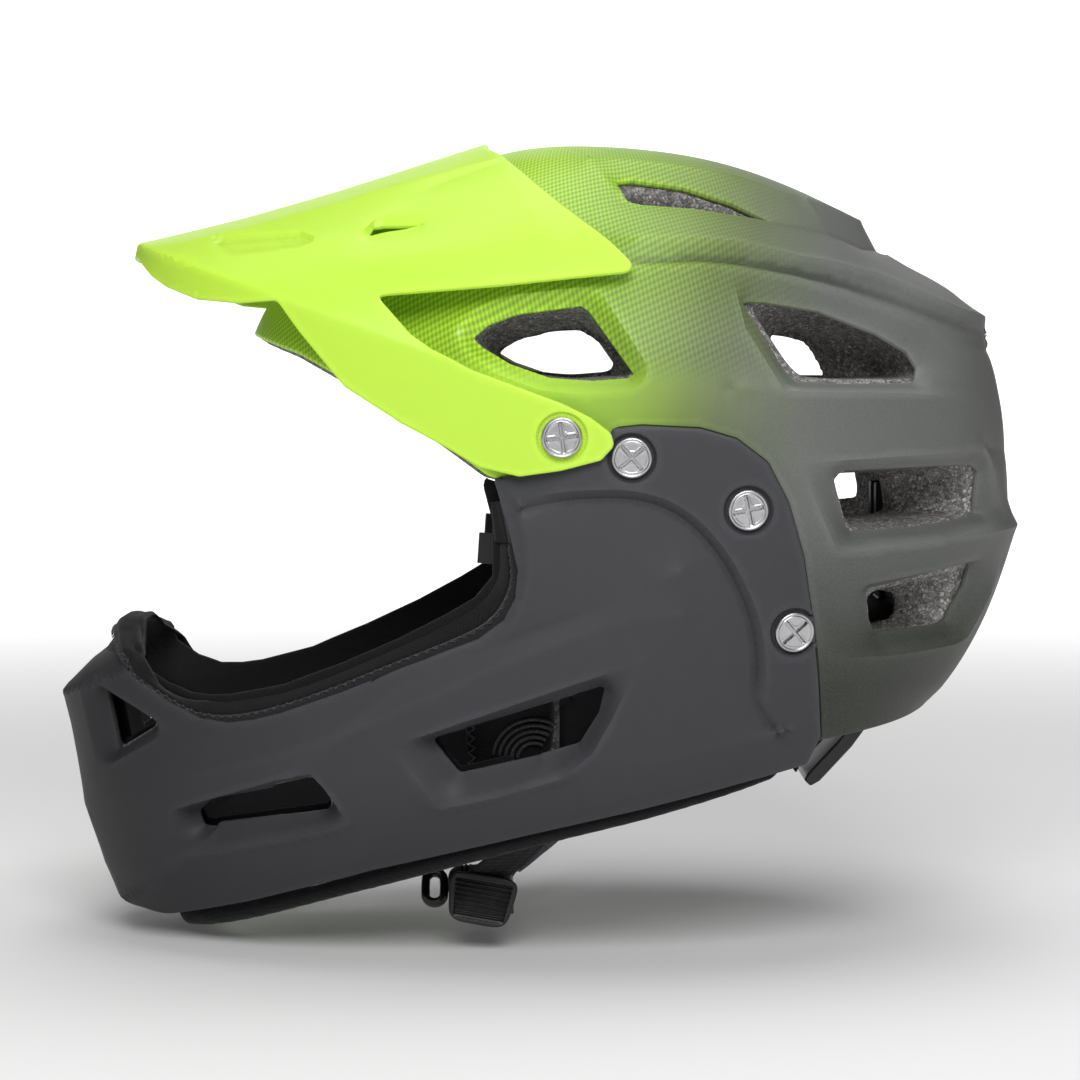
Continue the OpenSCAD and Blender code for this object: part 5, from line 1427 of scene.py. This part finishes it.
def place_heads(name, poses, mat, body, node, turns):
    VV, FF = [], []; at = 0
    for (M, t) in zip(poses, turns):
        P, _ = screw_head(turn=t)
        nr, na = P.shape[:2]
        V = P.reshape(-1, 3)
        # shank
        a = np.linspace(0, 2*math.pi, na, endpoint=False)
        sh = [np.c_[2.4*np.cos(a), 2.4*np.sin(a), np.full(na, z)] for z in (-0.02, -8.0)]
        V = np.vstack([V] + sh)
        n2 = nr + 2
        for i in range(n2 - 1):
            for j in range(na):
                j2 = (j + 1) % na
                FF.append((at + i*na + j, at + (i + 1)*na + j, at + (i + 1)*na + j2, at + i*na + j2))
        FF.append(tuple(at + (n2 - 1)*na + j for j in range(na)))
        FF.append(tuple(at + j for j in range(na)))
        V = np.c_[V, np.ones(len(V))] @ arr(M).T
        VV.append(V[:, :3]); at += len(V)
    o = raw(name, np.vstack(VV), FF)
    bm = bmesh.new(); bm.from_mesh(o.data)
    bmesh.ops.remove_doubles(bm, verts=bm.verts, dist=2e-6)
    bmesh.ops.recalc_face_normals(bm, faces=bm.faces)
    bm.to_mesh(o.data); bm.free()
    o.data.shade_smooth(); o.data.set_sharp_from_angle(angle=math.radians(38))
    return finish_piece(o, mat, body, [node])


def stand_matrix(form, x, z, lift, side=-1):
    """Frame with its origin on the form, +Z along the normal and local X level."""
    w = form.half_width(x, z); P = arr([[x, -w, z]]); n = form.normal(P, 0.5)[0]
    o = P[0] + n*lift
    up = arr([0, 0, 1.0]); xx = np.cross(up, n); xx /= np.linalg.norm(xx); yy = np.cross(n, xx)
    M = np.eye(4); M[:3, 0], M[:3, 1], M[:3, 2], M[:3, 3] = xx, yy, n, o
    if side > 0: M = np.diag([1, -1, 1, 1]) @ M
    return M


poses, turns = [], []
for sd in (-1, 1):
    for (x, z), t in zip(BAR_SCREWS, (40, 12, 42)):
        poses.append(stand_matrix(BAR, x, z, -0.85, sd)); turns.append(math.radians(t))
place_heads("guard_screws", poses, M_CHROME, "helmet", "chin_bar_screws", turns)
poses, turns = [], []
for sd in (-1, 1):
    M = np.eye(4); M[:3, 0] = (1, 0, 0); M[:3, 1] = (0, 0, 1); M[:3, 2] = (0, -1, 0); M[:3, 3] = (PIVOT[0], -110.35, PIVOT[1])
    if sd > 0: M = np.diag([1, -1, 1, 1]) @ M
    poses.append(M); turns.append(math.radians(8))
place_heads("peak_screws", poses, M_CHROME, "helmet", "visor_screws", turns)

# ---------------------------------------------------------------- keeper ring
rot = np.array(Matrix.Rotation(math.radians(60), 3, "X"))
a = np.linspace(0, 2*math.pi, 72, endpoint=False)
loop = np.c_[3.45*np.cos(a), 3.45*np.sin(a) + 2.5*np.sign(np.sin(a))*np.minimum(1, np.abs(np.sin(a))*3), 0*a]
loop = loop @ rot.T + arr([-77, -37, -165])
o = tube("keeper_ring", loop, 1.65, 16, closed=True, squash=1.8, up=tuple(rot @ arr([0, 0, 1.0])))
finish_piece(o, M_KEEPER, "helmet", ["strap_keeper"])

# ---------------------------------------------------------------- buckle body
nu, nv = 180, 150
th = np.linspace(-math.pi, math.pi, nu, endpoint=False); ph = np.linspace(-math.pi/2, math.pi/2, nv)
TH, PH = np.meshgrid(th, ph, indexing="ij")
sp = lambda v, e: np.sign(v)*np.abs(v)**e
ex, ez = 0.36, 0.55
X = 12.0*sp(np.cos(TH), ex)*sp(np.cos(PH), ez); Y = 14.0*sp(np.sin(TH), ex)*sp(np.cos(PH), ez) - 2.0; Z = 5.4*sp(np.sin(PH), ez)
Z = Z*(1 + 0.16*np.clip(-Y/14, 0, 1)); X = X*(1 - 0.10*np.clip(Y/12, 0, 1)**2)
rib = np.clip(1 - (np.abs(X)/9.6)**8, 0, 1)*np.clip((7.5 - Y)/2, 0, 1)*(0.5 + 0.5*np.cos(2*math.pi*X/1.75))
Z = Z + np.sign(Z)*0.55*rib*np.clip(np.abs(Z)/3, 0, 1)
Y = Y - 0.55*rib*np.clip((-Y - 12.5)/2.5, 0, 1)
V = np.stack([X, Y, Z], -1).reshape(-1, 3)
F = [(i*nv + j, ((i + 1) % nu)*nv + j, ((i + 1) % nu)*nv + j + 1, i*nv + j + 1) for i in range(nu) for j in range(nv - 1)]
rot = np.array(Matrix.Rotation(math.radians(-25), 3, "X"))
o = raw("buckle_body", V @ rot.T + [-60, -33, -166], F)
bm = bmesh.new(); bm.from_mesh(o.data); bmesh.ops.remove_doubles(bm, verts=bm.verts, dist=2e-5)
bmesh.ops.recalc_face_normals(bm, faces=bm.faces); bm.to_mesh(o.data); bm.free()


def block(x0, x1, y0, y1, z0, z1):
    return (arr([(x0,y0,z0),(x1,y0,z0),(x1,y1,z0),(x0,y1,z0),(x0,y0,z1),(x1,y0,z1),(x1,y1,z1),(x0,y1,z1)]) @ rot.T + [-60, -33, -166],
            [(0,3,2,1),(4,5,6,7),(0,1,5,4),(1,2,6,5),(2,3,7,6),(3,0,4,7)])


carve(o, block(-9.6, 9.6, -9, 14, -2.6, 2.6), block(-8.5, 8.5, -19, -8, -1.2, 1.2))
ex, ez = 0.42, 0.30
a = np.arcsin(np.linspace(0, 2**(-ex/2), 26)**(1/ex)); a = np.r_[a, (math.pi/2 - a[::-1])[1:-1]]
th = np.concatenate([a + k*math.pi/2 for k in range(4)]); nu = len(th)
rho = np.r_[np.linspace(0.002, 1, 90), np.linspace(1, 0.002, 24)[1:]]
lid = np.r_[np.ones(90), -np.ones(23)]
nv = len(rho)
X = 12.0*np.outer(sp(np.cos(th), ex), rho); Y = 9.3*np.outer(sp(np.sin(th), ex), rho)
Z = 2.4*np.outer(np.ones(nu), lid*(1 - rho**(2/ez))**(ez/2))
F = [(i*nv + j, ((i + 1) % nu)*nv + j, ((i + 1) % nu)*nv + j + 1, i*nv + j + 1) for i in range(nu) for j in range(nv - 1)]
F += [tuple(i*nv for i in range(nu)), tuple(i*nv + nv - 1 for i in range(nu))[::-1]]
well = np.clip((10.2 - np.abs(X))/0.8, 0, 1)*np.clip((7.6 - np.abs(Y))/0.8, 0, 1)*np.clip(Z/1.2, 0, 1)
Z = Z - well*(1.4 - 1.0*(0.5 + 0.5*np.cos(2*math.pi*Y/1.7))) + 0.9*(Y/9.3)**2
X = X*(1 + 0.10*Y/9.3)
tilt = np.array(Matrix.Rotation(math.radians(10), 3, "Y") @ Matrix.Rotation(math.radians(82), 3, "X"))
o2 = raw("thumb_plate", np.stack([X, Y, Z], -1).reshape(-1, 3) @ tilt.T + [-59.5, -51.0, -166.8], F)
bm = bmesh.new(); bm.from_mesh(o2.data); bmesh.ops.remove_doubles(bm, verts=bm.verts, dist=2e-5)
bmesh.ops.recalc_face_normals(bm, faces=bm.faces); bm.to_mesh(o2.data); bm.free()
o = join("buckle_body", [o, o2])
o.data.shade_smooth(); o.data.set_sharp_from_angle(angle=math.radians(50))
finish_piece(o, M_BUCKLE, "helmet", ["buckle_socket"])

# ---------------------------------------------------------------- moulded pieces kept from the frame
KEPT = {"strap_anchors": (M_FIT, "fit_plastic", 0.35), "strap_divider_left": (M_FIT, "fit_plastic", 0.5),
        "strap_divider_right": (M_FIT, "fit_plastic", 0.5), "cradle_track": (M_FIT, "fit_plastic", 0.5),
        "track_pins": (M_FIT, "fit_plastic", 0.3), "cradle_frame": (M_CRADLE, "cradle_plastic", 0.8),
        "dial_knob": (M_DIAL, "dial_rubber", 0.6), "dial_pinion": (M_PINION, "pinion_plastic", 0.2),
        "head_band_left": (M_FIT, "fit_plastic", 0.25), "head_band_right": (M_FIT, "fit_plastic", 0.25),
        "buckle_plug": (M_BUCKLE, "buckle_plastic", 0.4),
        "chin_bar_inserts": (M_BRASS, "insert_brass", 0.2), "visor_inserts": (M_BRASS, "insert_brass", 0.2),
        "visor_washers": (M_WASHER, "washer_rubber", 0.3), "cradle_pad": (M_PAD, "pad_fabric", 0.0)}
for nm, (mat, slot, w) in KEPT.items():
    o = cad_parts[nm]
    o.data.materials.clear(); o.data.materials.append(mat)
    m = o.modifiers.new("weld", "WELD"); m.merge_threshold = 2e-6
    if w:
        m = o.modifiers.new("bevel", "BEVEL"); m.width = w*0.001; m.segments = 3; m.limit_method = "ANGLE"
        m.angle_limit = math.radians(34); m.harden_normals = False

# cradle pad: a moulded foam pad with a knit skin
CP = fillet([(85.6,-87),(80.6,-97),(71.5,-109),(60,-121.5),(58.2,-126),(56.5,-121),(68.5,-107),(77.5,-95),(82.5,-86)], 1.2)
V, F = prism(CP, -19.6, 19.6)
o = raw("cradle_pad_soft", V, F)
m = o.modifiers.new("even", "REMESH"); m.mode = "VOXEL"; m.voxel_size = 0.0008
m = o.modifiers.new("soft", "SMOOTH"); m.factor = 0.5; m.iterations = 10
apply_all(o); o.data.shade_smooth()
finish_piece(o, M_PAD, "cradle", ["cradle_pad"])

# ---------------------------------------------------------------- stage and light
def stage_plane(name, size, loc, rot, mat):
    me = bpy.data.meshes.new(name)
    s = size/2
    me.from_pydata([(-s,-s,0),(s,-s,0),(s,s,0),(-s,s,0)], [], [(0,1,2,3)])
    o = bpy.data.objects.new(name, me); coll.objects.link(o)
    o.location = loc; o.rotation_euler = rot
    me.materials.append(mat)
    return o


def glow(m, v):
    m.b.inputs["Emission Color"].default_value = (1, 1, 1, 1); m.b.inputs["Emission Strength"].default_value = v


mf = Mat("floor_paint_and_glow"); mf.set(color=mf.mix(mf.noise(3, 2), (0.80, 0.80, 0.80), (0.82, 0.82, 0.82)), rough=0.9, spec=0.1)
# the floor glows more and more with distance from the helmet: painted light that fades it into the white background
o = mf.xyz(); far = mf.math("SQRT", mf.math("MULTIPLY_ADD", o[0], mf.math("MULTIPLY", o[0], 1.0), c=mf.math("MULTIPLY", o[1], o[1])))
glow(mf, 0.0); mf.put(mf.b.inputs["Emission Strength"], mf.range(far, 0.45, 1.7, 0.04, 0.80, True))
mb = Mat("backdrop_paint"); mb.set(color=mb.mix(mb.noise(3, 2), (0.50, 0.50, 0.50), (0.52, 0.52, 0.52)), rough=0.95, spec=0.0)
glow(mb, 0.95)
floor = stage_plane("floor", 8.0, (0, 0, -0.186), (0, 0, 0), mf.m)
back = stage_plane("backdrop", 2.6, (0, 3.2, 0.9), (math.radians(90), 0, 0), mb.m)
scene.world = bpy.data.worlds.new("studio")
scene.world.use_nodes = True
bg = scene.world.node_tree.nodes["Background"]
bg.inputs[0].default_value = (1, 1, 1, 1); bg.inputs[1].default_value = 0.15


def area(name, loc, aim, size, power, size_y=None):
    d = bpy.data.lights.new(name, "AREA"); d.energy = power; d.shape = "RECTANGLE"
    d.size = size; d.size_y = size_y or size
    o = bpy.data.objects.new(name, d); coll.objects.link(o)
    o.location = loc
    o.rotation_euler = (Vector(aim) - Vector(loc)).to_track_quat("-Z", "Y").to_euler()
    return o


area("key", (0.0, -1.25, 0.80), (0, 0, 0), 0.8, 16, 0.7)
area("top", (0.10, 0.10, 1.5), (0, 0, 0), 1.2, 14)
scene.view_settings.view_transform = "Standard"
scene.view_settings.look = "None"
